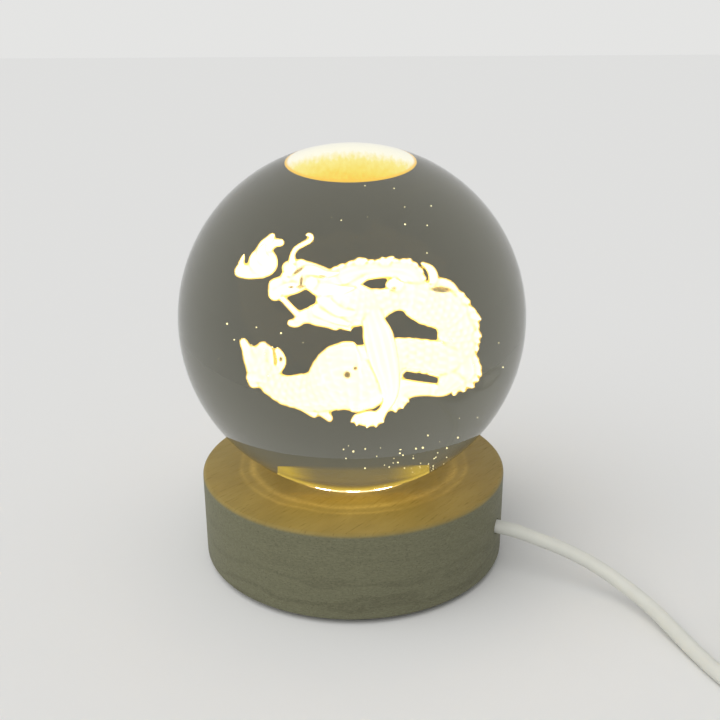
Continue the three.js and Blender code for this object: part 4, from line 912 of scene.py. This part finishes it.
def smoothPath(stations, spacing):
    # Catmull-Rom points through the stations, about one spacing apart
    padded = [stations[0], *stations, stations[-1]]
    path = []
    for i in range(1, len(padded) - 2):
        p0, p1, p2, p3 = (Vector(padded[i + k]) for k in (-1, 0, 1, 2))
        steps = max(2, round((Vector(p2[:3]) - Vector(p1[:3])).length / spacing))
        for j in range(steps):
            t = j / steps
            path.append(0.5 * (2 * p1 + (p2 - p0) * t + (2 * p0 - 5 * p1 + 4 * p2 - p3) * t ** 2
                               + (3 * p1 - p0 - 3 * p2 + p3) * t ** 3))
    path.append(Vector(padded[-2]))
    return path


def placed(station):
    x, y, seen = station[:3]
    return Vector((x, y, seen - figure["lean"] * y))


def scaleRise(share, radius, travelled):
    # How far a scale stands out at a share of the way round a limb
    pitch, height = figure["scalePitch"], figure["scaleHeight"]
    row = travelled / pitch
    across = max(figure["leastScales"], round(radius * 2 * math.pi / pitch / figure["scaleWidth"]))
    g = (share * across + 0.5 * (math.floor(row) % 2)) % 1
    return height * ((row % 1) ** figure["scaleCurve"]) * (1 - (2 * g - 1) ** 2) - 0.5 * height


def limbForm(bm, stations, sides, spacing, scales=False):
    # A tapering tube with a rounded start and end, and scales over its back if asked
    path = smoothPath(stations, spacing)
    centres = [placed(p) for p in path]
    radii = [max(p[3], 0.08) for p in path]
    last = len(path) - 1
    runs = [(centres[min(i + 1, last)] - centres[max(i - 1, 0)]).normalized() for i in range(len(path))]
    side = runs[0].cross(Vector((0, 1, 0)))
    side = (side if side.length > 0.1 else runs[0].orthogonal()).normalized()
    rings, frames = [], []
    travelled = 0
    for i, run in enumerate(runs):
        side = (side - run * side.dot(run)).normalized()
        frames.append((run, side.copy(), run.cross(side)))
        travelled += (centres[i] - centres[i - 1]).length if i else 0
        ring = []
        for j, turn in enumerate(circle(sides)):
            reach = radii[i] + (scaleRise(j / sides, radii[i], travelled) if scales else 0)
            ring.append(centres[i] + side * reach * math.cos(turn) + frames[i][2] * reach * math.sin(turn))
        rings.append(ring)

    def capRing(index, along, narrow):
        run, s, t = frames[index]
        r = radii[index]
        middle = centres[index] + run * r * along
        return [middle + (s * math.cos(turn) + t * math.sin(turn)) * r * narrow for turn in circle(sides)]

    low = [capRing(0, -along, narrow) for along, narrow in figure["capSteps"]]
    high = [capRing(-1, along, narrow) for along, narrow in reversed(figure["capSteps"])]
    rings = [*low, *rings, *high]
    verts = [bm.verts.new(p * mm) for ring in rings for p in ring]
    for face in stackFaces(len(rings), sides):
        bm.faces.new([verts[corner] for corner in face])


def beadForm(bm, x, y, z, radius):
    matrix = Matrix.Translation(placed((x, y, z)) * mm)
    bmesh.ops.create_icosphere(bm, subdivisions=3, radius=radius * mm, matrix=matrix)


def clawForm(bm, root, tip, radius):
    root, tip = Vector(root), Vector(tip)
    middle = root.lerp(tip, figure["clawBend"]) + Vector(figure["clawArch"])
    half, end = figure["clawTaper"]
    stations = [(*root, radius), (*middle, radius * half), (*tip, radius * end)]
    limbForm(bm, stations, figure["clawSides"], figure["clawSpacing"])


def crestForms(bm, stations, count, start, end, reach, middle):
    # Spikes along a share of the stations' path, pointing away from a middle
    path = smoothPath(stations, figure["lockSpacing"])
    bendLean, tipLean = figure["spikeLean"]
    for i in range(count):
        at = int((start + (end - start) * i / (count - 1)) * (len(path) - 1))
        here, ahead = path[at], path[min(at + 2, len(path) - 1)]
        centre = Vector(here[:3])
        run = (Vector(ahead[:3]) - centre).normalized()
        out = Vector((-run.z, 0, run.x)).normalized()
        if out.dot(centre - Vector(middle)) < 0:
            out.negate()
        root = centre + out * here[3] * figure["spikeRoot"]
        bend = centre + out * (here[3] + reach * figure["spikeBend"]) + run * bendLean
        tip = centre + out * (here[3] + reach) + run * tipLean
        spike = [(*spot, radius) for spot, radius in zip((root, bend, tip), figure["spikeRadii"])]
        limbForm(bm, spike, figure["clawSides"], figure["clawSpacing"])


def remeshed(piece, voxel, material):
    modified(piece, "REMESH", mode="VOXEL", voxel_size=voxel, use_smooth_shade=True)
    painted(baked(piece), material)
    piece.data.shade_smooth()
    return piece


def figureFrom(name, bm, material):
    piece = addObject(name, meshOf(bm, bpy.data.meshes.new(name)))
    return placeMesh(remeshed(piece, figure["voxel"], material), Matrix.Translation(ball["centre"]))


# Dark slits seen in the head, the curl and the coils: (right, as seen up), half length, half width, degrees
slits = [
    ((-8.5, 7.75), 0.8, 0.2, 38), ((-8.05, 5.8), 0.7, 0.19, 85), ((-8.1, 5.05), 0.5, 0.17, 5),
    ((-4.8, 6.7), 0.5, 0.16, -5), ((13.7, 4.6), 1.0, 0.32, -4), ((-0.8, -9.7), 0.36, 0.42, 20),
    ((0.5, -8.6), 0.22, 0.22, 0), ((6.4, 4.6), 0.4, 0.2, 30), ((-10.9, -6.4), 0.2, 0.25, 0),
    ((-9.7, 5.0), 0.26, 0.12, 0),
]


def slitShare(tree, soft):
    # 0 inside a slit and 1 away from it, through the whole depth of the figure
    right, back, height = apart(millimetres(tree, centre=ball["centre"]))
    seen = plus(height, times(back, figure["lean"]))
    rough = times(noiseOn(millimetres(tree), 2.5, 2), 0.8)
    share = 1.0
    for (x, up), long, wide, turn in slits:
        c, s = math.cos(math.radians(turn)), math.sin(math.radians(turn))
        aside, high = minus(right, x), minus(seen, up)
        along = plus(times(aside, c / long), times(high, s / long))
        across = minus(times(high, c / wide), times(aside, s / wide))
        near = minus(plus(plus(times(along, along), times(across, across)), rough), 1.4)
        share = times(share, mathOn("DIVIDE", near, soft, clamp=True))
    return share


def engravingMaterial():
    # A cloud of tiny bright cracks, glowing in painted light from below: white, with painted warm shade in
    # the hollows
    material, tree, shader = newMaterial("engraving", {"Roughness": 0.8, "Emission Strength": 4.6})
    place = millimetres(tree, centre=ball["centre"])
    dots = node(tree, "ShaderNodeTexVoronoi", {"Vector": place, "Scale": 4.0}).outputs["Distance"]
    # Painted shade: the glow turns darker and warmer where the surface is hollow
    warm = ramp(node(tree, "ShaderNodeNewGeometry").outputs["Pointiness"], [
        (0.40, (0.40, 0.20, 0.03)), (0.46, (0.55, 0.40, 0.16)),
        (0.485, (0.90, 0.80, 0.58)), (0.52, (1.0, 0.98, 0.92)),
    ])
    fill(shader, {
        "Base Color": ramp(dots, [(0.0, 1), (0.55, (0.80, 0.76, 0.66))]),
        "Emission Color": mixed(slitShare(tree, 2.6), (0.012, 0.009, 0.002), warm),
    })
    bumped(shader, dots, 0.5, 0.0001)
    return material


def fringeMaterial():
    # Thin warm veil: painted glow standing for the scattered light that rims the engraving
    material, tree, shader = newMaterial("warmFringe", {
        "Base Color": (1.0, 0.70, 0.22),
        "Roughness": 0.9,
        "Specular IOR Level": 0.0,
        "Emission Color": (1.0, 0.70, 0.13),
        "Emission Strength": 1.6,
    })
    fill(shader, {"Alpha": times(slitShare(tree, 0.8), 0.42)})
    return material


def makeFringe(piece, name, material):
    # The piece's own form, grown all over and remeshed coarser
    fringe = addObject(name, piece.data.copy())
    modified(fringe, "DISPLACE", strength=figure["fringe"], mid_level=0.0)
    remeshed(fringe, figure["fringeVoxel"], material)
    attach(fringe, "ball")


def makeDragon(material):
    bm = bmesh.new()
    limbForm(bm, bodyStations, figure["bodySides"], figure["bodySpacing"], scales=True)
    for stations in [*headForms, *maneForms, *legForms]:
        limbForm(bm, stations, figure["lockSides"], figure["lockSpacing"])
    for bead in headBeads:
        beadForm(bm, *bead)
    for root, tips, radius in clawRows:
        for tip in tips:
            clawForm(bm, root, tip, radius)
    for crest in crests:
        crestForms(bm, *crest)
    return figureFrom("engravedDragon", bm, material)


def makePearl(material):
    bm = bmesh.new()
    beadForm(bm, *pearlBead)
    for stations in pearlForms:
        limbForm(bm, stations, figure["lockSides"], figure["lockSpacing"])
    return figureFrom("engravedPearl", bm, material)


engraving = engravingMaterial()
engravedDragon = makeDragon(engraving)
engravedPearl = makePearl(engraving)
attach(engravedDragon, "ball")
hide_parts("engraved_dragon")
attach(engravedPearl, "ball")
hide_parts("engraved_pearl")
warmFringe = fringeMaterial()
makeFringe(engravedDragon, "dragonFringe", warmFringe)
makeFringe(engravedPearl, "pearlFringe", warmFringe)
print("figure made,", len(engravedDragon.data.polygons), "faces")

# Bright specks in the glass round the figure, glowing in painted light. A cluster is its centre, in
# millimetres from the ball's, its spread each way and its count.

specks = {
    "seed": 7,
    "least": 0.00004,
    "most": 0.00015,
    "farthest": 37,
    "deviation": 0.6,
    "clusters": [
        ((8.0, -4.0, -23.0), (8.0, 6.0, 4.0), 36),
        ((13.0, -6.0, -27.0), (5.0, 5.0, 2.0), 22),
        ((-16.0, -2.0, -5.0), (5.0, 5.0, 3.5), 16),
        ((0.0, 0.0, 18.0), (14.0, 8.0, 5.0), 12),
        ((20.0, 0.0, -8.0), (6.0, 8.0, 8.0), 8),
    ],
}


def speckUnit(group, entry):
    # A small ball of random size
    spread = node(group, "FunctionNodeRandomValue", data_type="FLOAT")
    enabled = {socket.name: socket for socket in spread.inputs if socket.enabled}
    for label, source in (("Min", "Least radius"), ("Max", "Most radius"), ("Seed", "Seed")):
        put(enabled[label], entry[source])
    bead = node(group, "GeometryNodeMeshIcoSphere", {"Radius": 1.0, "Subdivisions": 2})
    return bead.outputs["Mesh"], next(socket for socket in spread.outputs if socket.enabled)


def makeSpecks():
    material = newMaterial("brightSpeck", {
        "Base Color": (1.0, 0.92, 0.66),
        "Roughness": 0.6,
        # Painted light: the specks glow instead of being lit by the lamps
        "Emission Color": (1.0, 0.88, 0.50),
        "Emission Strength": 3.8,
    })[0]
    random.seed(specks["seed"])
    spots = []
    for centre, spread, count in specks["clusters"]:
        for _ in range(count):
            shares = zip(placed(centre), spread)
            spot = Vector([random.gauss(c, w * specks["deviation"]) for c, w in shares])
            if spot.length < specks["farthest"]:
                spots.append(spot * mm + Vector(ball["centre"]))
    piece = scattered("brightSpecks", spots, material, {
        "Least radius": ("NodeSocketFloat", specks["least"]),
        "Most radius": ("NodeSocketFloat", specks["most"]),
        "Seed": ("NodeSocketInt", specks["seed"]),
    }, speckUnit)
    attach(piece, "ball")


makeSpecks()
print("specks made")

# Painted reflection of the lit well: a glowing cap just under the glass's top

topGlow = {
    "spread": 20.6,
    "lean": 10.4,
    "depth": 0.00015,
    "thickness": 0.0001,
    "steps": 14,
    "sides": 96,
    "rim": (0.95, 0.55, 0.05),
    "tints": [
        (0.15, (0.92, 0.56, 0.04)), (0.25, (0.90, 0.68, 0.08)),
        (0.38, (0.93, 0.78, 0.20)), (0.52, (1.0, 0.95, 0.78)),
    ],
}


def topGlowMaterial(middle, reach):
    # Painted reflection of the lit well, glowing amber at its front to white at its back
    material, tree, shader = newMaterial("topGlow", {
        "Base Color": (0.05, 0.04, 0.01),
        "Emission Strength": 1.05,
        "Alpha": 0.9,
    })
    place = millimetres(tree, centre=ball["centre"])
    back = over(minus(apart(place)["Y"], middle.y - reach), 2 * reach)
    streak = noiseOn(millimetres(tree, 0.0, (1.0, 0.09, 1.0)), 1.1, 3, 0.6)
    tint = ramp(plus(times(back, 0.85), times(streak, 0.24)), topGlow["tints"])
    far = node(tree, "ShaderNodeVectorMath", {0: place, 1: middle}, operation="DISTANCE").outputs["Value"]
    rim = ramp(over(far, reach), [(0.94, 0), (0.98, 1)])
    fill(shader, {"Emission Color": mixed(rim, tint, topGlow["rim"])})
    return material


def makeTopGlow(glow):
    outer = ball["radius"] - glow["depth"]
    inner = outer - glow["thickness"]
    turns = [math.radians(glow["spread"]) * i / glow["steps"] for i in range(glow["steps"] + 1)]
    profile = [(outer * math.sin(t), outer * math.cos(t)) for t in turns]
    profile += [(inner * math.sin(t), inner * math.cos(t)) for t in reversed(turns)]
    leaned = Matrix.Rotation(math.radians(glow["lean"]), 4, "X")
    middle = leaned @ Vector((0, 0, outer / mm))
    reach = 2 * outer * math.sin(turns[-1] / 2) / mm
    piece = painted(lathe("topGlow", profile, glow["sides"]), topGlowMaterial(middle, reach))
    placeMesh(piece, Matrix.Translation(ball["centre"]) @ leaned)
    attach(piece, "ball")


makeTopGlow(topGlow)
print("top glow made")

# Painted reflection of the lit seat: an amber glowing sheet low on the glass's front. Its sides and top are
# given in millimetres on the upright sheet through the ball's centre that faces the camera.

lowGlow = {
    "half": 17.8,
    "top": -34.6,
    "columns": 48,
    "rows": 16,
    "crowding": 1.6,
    "depth": 0.00012,
    "thickness": 0.00008,
    "endsFrom": 17.0,
}


def lowGlowMaterial(turn):
    # Painted reflection of the lit seat: amber glow strongest at the ball's outline and at both ends
    material, tree, shader = newMaterial("lowGlow", {
        "Base Color": (0.05, 0.04, 0.01),
        "Emission Strength": 1.3,
    })
    level = node(tree, "ShaderNodeVectorRotate", {
        "Vector": millimetres(tree, centre=ball["centre"]),
        "Angle": turn,
    }, rotation_type="X_AXIS").outputs[0]
    x, _, z = apart(level)
    radius = ball["radius"] / mm
    edge = ramp(over(mathOn("SQRT", plus(times(x, x), times(z, z))), radius), [
        (0.88, 0), (0.915, 0.18), (0.94, 0.62), (0.958, 1),
    ])
    upper = ramp(over(plus(z, radius), 10.0), [(0.35, 0.08), (0.60, 0.24), (0.84, 0.22), (0.95, 0)])
    ends = ramp(over(mathOn("ABSOLUTE", x), lowGlow["endsFrom"]), [(0.45, 0.35), (0.80, 1), (0.93, 1)])
    cloud = ramp(noiseOn(millimetres(tree), 0.25, 3), [(0.3, 0.7), (0.7, 1)])
    both = mathOn("MAXIMUM", edge, times(upper, plus(ends, ends)))
    tints = [(0.1, (0.30, 0.19, 0.02)), (0.45, (0.62, 0.42, 0.045)), (0.9, (1.0, 0.70, 0.12))]
    fill(shader, {"Emission Color": ramp(both, tints), "Alpha": times(both, cloud)})
    return material


def makeLowGlow(glow):
    centre, spot = Vector(ball["centre"]), Vector(cameraSpot["place"])
    facing = (spot - centre).normalized()
    right = Vector((0, 0, 1)).cross(facing).normalized()
    up = facing.cross(right)
    away = (spot - centre).length
    rows, columns = glow["rows"], glow["columns"]
    bm = bmesh.new()

    def onSphere(radius, i, j):
        limb = radius * away / math.sqrt(away ** 2 - radius ** 2)
        u = glow["half"] * mm * (2 * i / columns - 1)
        low = -math.sqrt(limb ** 2 - u ** 2) * 0.9999
        v = low + (glow["top"] * mm - low) * (j / rows) ** glow["crowding"]
        ray = (centre + right * u + up * v - spot).normalized()
        half = (centre - spot).dot(ray)
        return spot + ray * (half - math.sqrt(max(0.0, half ** 2 - away ** 2 + radius ** 2)))

    outer = ball["radius"] - glow["depth"]
    verts = {}
    for skin, radius in enumerate((outer, outer - glow["thickness"])):
        for j in range(rows + 1):
            for i in range(columns + 1):
                verts[skin, i, j] = bm.verts.new(onSphere(radius, i, j))
    around = [(i, 0) for i in range(columns)] + [(columns, j) for j in range(rows)]
    around += [(i, rows) for i in range(columns, 0, -1)] + [(0, j) for j in range(rows, 0, -1)]
    faces = [[(0, *a), (0, *b), (1, *b), (1, *a)] for a, b in zip(around, around[1:] + around[:1])]
    for skin in (0, 1):
        faces += [[(skin, i, j), (skin, i + 1, j), (skin, i + 1, j + 1), (skin, i, j + 1)]
                  for j in range(rows) for i in range(columns)]
    for face in faces:
        bm.faces.new([verts[corner] for corner in face])
    bmesh.ops.recalc_face_normals(bm, faces=bm.faces)
    mesh = meshOf(bm, bpy.data.meshes.new("lowGlow"), smooth=True)
    piece = addObject("lowGlow", mesh, lowGlowMaterial(math.atan2(facing.z, -facing.y)))
    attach(piece, "ball")


makeLowGlow(lowGlow)
print("low glow made")

# In-line switch, drawn along X with its underside at z = 0

switch = {
    "length": 0.033,
    "width": 0.013,
    "height": 0.0096,
    "split": 0.0046,
    "corner": 0.0042,
    "edge": 0.001,
    "groove": 0.00012,
    "pocket": (0.0058, 0.0035),
    "floor": 0.0014,
    "over": 0.012,
    "slack": 0.0003,
    "slotFoot": 0.004,
    "screwSpread": 0.0105,
    "screwHead": 0.0018,
    "screwSink": 0.0014,
    "pivot": 0.0074,
    "pinRadius": 0.0008,
    "pinReach": 0.0041,
    "rocker": (0.005, 0.0032),
    "rockerFoot": 0.0032,
    "rockerDepth": 0.0014,
    "rockerCrown": 0.0026,
    "rockerDip": 0.001,
    "rockerTilt": 7.0,
    "rockerEdge": 0.00028,
    "rockerSteps": 24,
    "markPlace": 0.0031,
    "markReach": 0.0008,
    "markThick": 0.00013,
    "markSteps": 40,
    "markSides": 10,
}


def standing(run, place):
    side = Vector((-run.y, run.x, 0))
    return Matrix(((run.x, side.x, 0, place.x), (run.y, side.y, 0, place.y), (0, 0, 1, 0), (0, 0, 0, 1)))


def edgeLevels(low, high, bevel, lowRound=True, highRound=True, groove=0.0):
    # Heights and insets of a block whose ends are rounded, or meet another block at a groove
    rounding = [(bevel * (1 - math.cos(t)), bevel * (1 - math.sin(t))) for t in quarter(5)]
    foot = [(low, groove), (low + groove, 0.0)]
    head = [(high - groove, 0.0), (high, groove)]
    if lowRound:
        foot = [(low + rise, inset) for rise, inset in rounding]
    if highRound:
        head = [(high - drop, inset) for inset, drop in rounding]
    return foot + head


def switchHalf(name, upper, material):
    w = switch
    low, high = (w["split"], w["height"]) if upper else (0.0, w["split"])
    levels = edgeLevels(low, high, w["edge"], not upper, upper, w["groove"])
    half = roundedBlock(name, w["length"], w["width"], levels, w["corner"])
    x, y = w["pocket"]
    tools = [box((-x, -y, w["floor"]), (x, y, w["over"]))]
    if upper:
        hole, reach, pivot = w["pinRadius"] + w["slack"], w["pinReach"] + w["slack"], w["pivot"]
        tools.append(rod((0, -reach, pivot), (0, reach, pivot), hole, 20))
        tools.append(box((-hole, -reach, w["slotFoot"]), (hole, reach, pivot)))
    else:
        for at in (-w["screwSpread"], w["screwSpread"]):
            tools.append(rod((at, 0, -w["screwSink"]), (at, 0, w["screwSink"]), w["screwHead"], 32))
    return painted(sharpened(cutAway(half, tools), 35), material)


def rockerRise(share):
    return switch["rockerCrown"] - switch["rockerDip"] * (1 - share ** 2)


def rockerMark(side):
    w = switch
    thick, reach = w["markThick"], w["markReach"]
    if side < 0:
        mark = box((-thick, -reach, -thick), (thick, reach, thick), "mark")
    else:
        ring = [(reach + thick * math.cos(t), thick * math.sin(t)) for t in circle(w["markSides"])]
        mark = lathe("mark", ring, w["markSteps"])
    x, length = side * w["markPlace"], w["rocker"][0]
    slope = math.atan(2 * w["rockerDip"] * x / length ** 2)
    spot = Matrix.Translation((x, 0, rockerRise(x / length)))
    return placeMesh(mark, spot @ Matrix.Rotation(-slope, 4, "Y"))


def rockerPaddle(material):
    w = switch
    x, y = w["rocker"]
    shares = [1 - 2 * i / w["rockerSteps"] for i in range(w["rockerSteps"] + 1)]
    outline = [(-w["rockerFoot"], -w["rockerDepth"]), (w["rockerFoot"], -w["rockerDepth"]), (x, 0.0)]
    outline += [(x * share, rockerRise(share)) for share in shares] + [(-x, 0.0)]
    verts = [(a, side * y, b) for side in (-1, 1) for a, b in outline]
    paddle = softened(solidFrom("paddle", verts, stackFaces(2, len(outline))), w["rockerEdge"], 3, 30)
    pins = rod((0, -w["pinReach"], 0), (0, w["pinReach"], 0), w["pinRadius"], 24)
    whole = joinMeshes("switchRocker", [paddle, pins, rockerMark(-1), rockerMark(1)])
    tilt = Matrix.Rotation(math.radians(w["rockerTilt"]), 4, "Y")
    placeMesh(whole, Matrix.Translation((0, 0, w["pivot"])) @ tilt)
    return painted(sharpened(whole, 35), material)


whiteSatin = plastic("whiteSatin", (0.75, 0.745, 0.70), roughness=0.33, grain=0.12, mottle=0.02)
switchPlace = standing(tailRun, switchMiddle)
for made, body, replaced in (
    (switchHalf("switchLower", False, whiteSatin), "base", "switch_lower"),
    (switchHalf("switchUpper", True, whiteSatin), "base", "switch_upper"),
    (rockerPaddle(whiteSatin), "rocker", "switch_rocker"),
):
    placeMesh(made, switchPlace)
    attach(made, body)
    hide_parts(replaced)
print("switch made")

# Plug, drawn along X from the tip of its strain relief

plug = {
    "relief": 0.007,
    "reliefRadii": (0.0023, 0.003),
    "reliefSteps": 60,
    "reliefSides": 48,
    "ribs": 3,
    "ribDepth": 0.0005,
    "length": 0.022,
    "width": 0.0154,
    "height": 0.0078,
    "corner": 0.002,
    "edge": 0.0008,
    "gripStart": 0.004,
    "gripPitch": 0.0022,
    "gripWidth": 0.0008,
    "gripDepth": 0.0005,
    "grips": 4,
    "field": (0.0085, 0.0048, 0.0002),
    "fieldMiddle": 0.0145,
    "fieldRound": 0.98,
    "slack": 0.0003,
    "reach": 0.02,
    "shell": (0.012, 0.0045, 0.0003),
    "shellReach": 0.012,
    "shellInset": 0.002,
    "shellCorner": 0.0006,
    "shellEdge": 0.00008,
    "hole": 0.0022,
    "holeSpread": 0.0024,
    "holeFromTip": 0.0056,
    "seam": 0.00014,
    "over": 0.001,
}
alongX = Matrix(((0, 0, 1, 0), (1, 0, 0, 0), (0, 1, 0, 0), (0, 0, 0, 1)))


def reliefSleeve():
    p = plug
    thin, thick = p["reliefRadii"]
    profile = [(0.0, 0.0)]
    for i in range(p["reliefSteps"] + 1):
        share = i / p["reliefSteps"]
        wave = 0.5 - 0.5 * math.cos(2 * math.pi * ((share * p["ribs"]) % 1))
        groove = p["ribDepth"] * (1 - smoothstep(wave, 0.1, 0.5))
        profile.append((thin + (thick - thin) * share - groove, share * p["relief"]))
    end = p["relief"] + p["edge"]
    return lathe("sleeve", [*profile, (thick, end), (0.0, end)], p["reliefSides"], 50)


def plugBody(material):
    p = plug
    levels = edgeLevels(0.0, p["length"], p["edge"])
    block = roundedBlock("plugBody", p["width"], p["height"], levels, p["corner"])
    tools = []
    reach = p["reach"]
    for i in range(p["grips"]):
        at = p["gripStart"] + i * p["gripPitch"]
        for side in (-1, 1):
            near, far = sorted((side * (p["width"] / 2 - p["gripDepth"]), side * reach))
            tools.append(box((near, -reach, at), (far, reach, at + p["gripWidth"])))
    wide, high = p["shell"][0] / 2 + p["slack"], p["shell"][1] / 2 + p["slack"]
    back = p["length"] - p["shellInset"] - p["slack"]
    tools.append(box((-wide, -high, back), (wide, high, reach * 2)))
    long, broad, deep = p["field"]
    field = roundedBlock("field", long, broad, [(0.0, 0.0), (reach / 2, 0.0)], broad / 2 * p["fieldRound"])
    turned = ((0, 1, 0, 0), (0, 0, 1, p["height"] / 2 - deep), (1, 0, 0, p["fieldMiddle"]), (0, 0, 0, 1))
    tools.append(placeMesh(field, Matrix(turned)))
    cutAway(block, tools)
    placeMesh(block, Matrix.Translation((0, 0, p["relief"])))
    whole = joinMeshes("plugOvermould", [block, reliefSleeve()])
    return placeMesh(painted(sharpened(whole, 40), material), alongX)


def brushedMetal(name, colour, roughness, turn):
    material, tree, shader = newMaterial(name, {"Metallic": 1.0})
    lines = noiseOn(millimetres(tree, turn, (0.06, 1.6, 1.6)), 2.5, 4, 0.6)
    darker = tuple(c * 0.88 for c in colour)
    fill(shader, {
        "Base Color": ramp(lines, [(0.3, darker), (0.7, colour)]),
        "Roughness": ramp(lines, [(0.3, roughness + 0.1), (0.7, roughness)]),
    })
    bumped(shader, lines, 0.15, 0.00003)
    return material


def steelShell(material):
    p = plug
    wide, high, wall = p["shell"]
    back, tip = p["relief"] + p["length"] - p["shellInset"], p["relief"] + p["length"] + p["shellReach"]
    behind, beyond = back - p["over"], tip + p["over"]
    levels = [(back, 0.0), (tip - p["shellEdge"], 0.0), (tip, p["shellEdge"])]
    shell = roundedBlock("plugShell", wide, high, levels, p["shellCorner"])
    inner = [(behind, 0.0), (beyond, 0.0)]
    tools = [roundedBlock("hollow", wide - 2 * wall, high - 2 * wall, inner, p["shellCorner"] - wall)]
    half, at, seam = p["hole"] / 2, tip - p["holeFromTip"], p["seam"] / 2
    for x in (-p["holeSpread"], p["holeSpread"]):
        tools.append(box((x - half, -high, at - half), (x + half, high, at + half)))
    tools.append(box((-seam, -high, behind), (seam, -high / 4, beyond)))
    return placeMesh(painted(sharpened(cutAway(shell, tools), 35), material), alongX)


brushedSteel = brushedMetal("brushedSteel", (0.62, 0.63, 0.64), 0.24, -math.atan2(tailRun.y, tailRun.x))
plugPlace = Matrix.Translation((0, 0, cord["plugHeight"])) @ standing(-tailRun, plugStart)
for made, slot, replaced in (
    (plugBody(whiteSatin), "switch_plastic", "plug_overmould"),
    (steelShell(brushedSteel), "steel", "plug_shell"),
):
    placeMesh(made, plugPlace)
    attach(made, "base")
    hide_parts(replaced)
print("plug made")

# Studio

studio = {
    "pale": (0.78, 0.78, 0.77),
    "sunStrength": 1.5,
    "sunAngle": 70.0,
    "sunFrom": (-0.55, -0.45, 1.0),
    "worldLight": 0.56,
    "floorReach": 60.0,
}


def makeFloor():
    reach = studio["floorReach"]
    corners = [(-reach, -reach, 0), (reach, -reach, 0), (reach, reach, 0), (-reach, reach, 0)]
    material = newMaterial("paleFloor", {
        "Base Color": studio["pale"],
        "Roughness": 0.9,
        "Specular IOR Level": 0.0,
    })[0]
    floor = painted(solidFrom("floor", corners, [(0, 1, 2, 3)], smooth=False), material)


def makeSun():
    sun = bpy.data.objects.new("softSun", bpy.data.lights.new("softSun", "SUN"))
    sun.data.energy = studio["sunStrength"]
    sun.data.angle = math.radians(studio["sunAngle"])
    sun.visible_glossy = False
    sun.rotation_mode = "QUATERNION"
    sun.rotation_quaternion = Vector(studio["sunFrom"]).to_track_quat("Z", "Y")
    bpy.context.collection.objects.link(sun)


def background(tree, colour, strength):
    return node(tree, "ShaderNodeBackground", {"Color": colour, "Strength": strength}).outputs[0]


def makeWorld():
    # The backdrop that the camera sees, also through and in the glass, and a weaker light for the rest
    world = bpy.data.worlds.new("world")
    scene.world = world
    world.use_nodes = True
    tree = world.node_tree
    tree.nodes.clear()
    seen = background(tree, studio["pale"], 1.0)
    lit = background(tree, (1, 1, 1), studio["worldLight"])
    rays = node(tree, "ShaderNodeLightPath").outputs
    shown = plus(rays["Is Camera Ray"], rays["Is Glossy Ray"])
    shown = mathOn("ADD", shown, rays["Is Transmission Ray"], clamp=True)
    node(tree, "ShaderNodeOutputWorld", {"Surface": mixedShader(shown, lit, seen)})


makeFloor()
makeSun()
makeWorld()
print("studio made")

# Finishes of the solids that stay as modelled. Heights and reach of the lit parts are in millimetres.

litSolids = {
    "boardFace": 14.7,
    "boardReach": 20.0,
    "boardStrength": 0.5,
    "ledFace": 16.2,
    "ledStrength": 16.0,
}


def boardMaterial():
    # White solder mask, with the LEDs' light inside the well's circle painted on as glow
    material, tree, shader = newMaterial("litBoard", {
        "Base Color": (0.88, 0.88, 0.84),
        "Roughness": 0.35,
        "Emission Color": (1.0, 0.88, 0.50),
    })
    x, y, height = apart(millimetres(tree))
    reach = over(fromAxis(x, y), litSolids["boardReach"])
    glow = ramp(reach, [(0.0, 0.8), (0.42, 1), (0.80, 0.8), (0.84, 0)])
    streak = noiseOn(millimetres(tree, 0.0, (1.1, 0.06, 1.0)), 1.0, 3, 0.6)
    uneven = ramp(streak, [(0.35, 0.70), (0.60, 1)])
    top = above(height, litSolids["boardFace"])
    # Painted light: the board glows where the LEDs would light it
    fill(shader, {"Emission Strength": times(glow, top, litSolids["boardStrength"], uneven)})
    return material


def ledMaterial():
    material, tree, shader = newMaterial("ledFace", {
        "Base Color": (0.92, 0.90, 0.80),
        "Roughness": 0.3,
        "Emission Color": (1.0, 0.88, 0.60),
    })
    top = above(apart(millimetres(tree))["Z"], litSolids["ledFace"])
    fill(shader, {"Emission Strength": times(top, litSolids["ledStrength"])})
    return material


finishes = {
    "board": boardMaterial(),
    "led": ledMaterial(),
    "resistor": plastic("blackCeramic", (0.03, 0.03, 0.03), roughness=0.45),
    "steel": zincSteel,
    "brass": plastic("brightBrass", (0.78, 0.58, 0.24), roughness=0.22, grain=0.15, metallic=1.0),
    "cover": blackCover,
    "rubber": blackRubber,
    "cord": cordSheath,
    "red_wire": plastic("redInsulation", (0.55, 0.03, 0.025), roughness=0.4),
    "black_wire": plastic("blackInsulation", (0.02, 0.02, 0.02), roughness=0.4),
    "nylon": plastic("naturalNylon", (0.78, 0.76, 0.68), roughness=0.42),
    "switch_plastic": whiteSatin,
    "tongue": plastic("whiteInsulator", (0.85, 0.85, 0.83), roughness=0.5),
    "glass": polishedGlass,
    "engraving": engraving,
    "wood": turnedWood,
}
for part in frame["record"]["subparts"]:
    painted(nodes[part["node"]], finishes[part["material_slot"]])
print("finishes given")
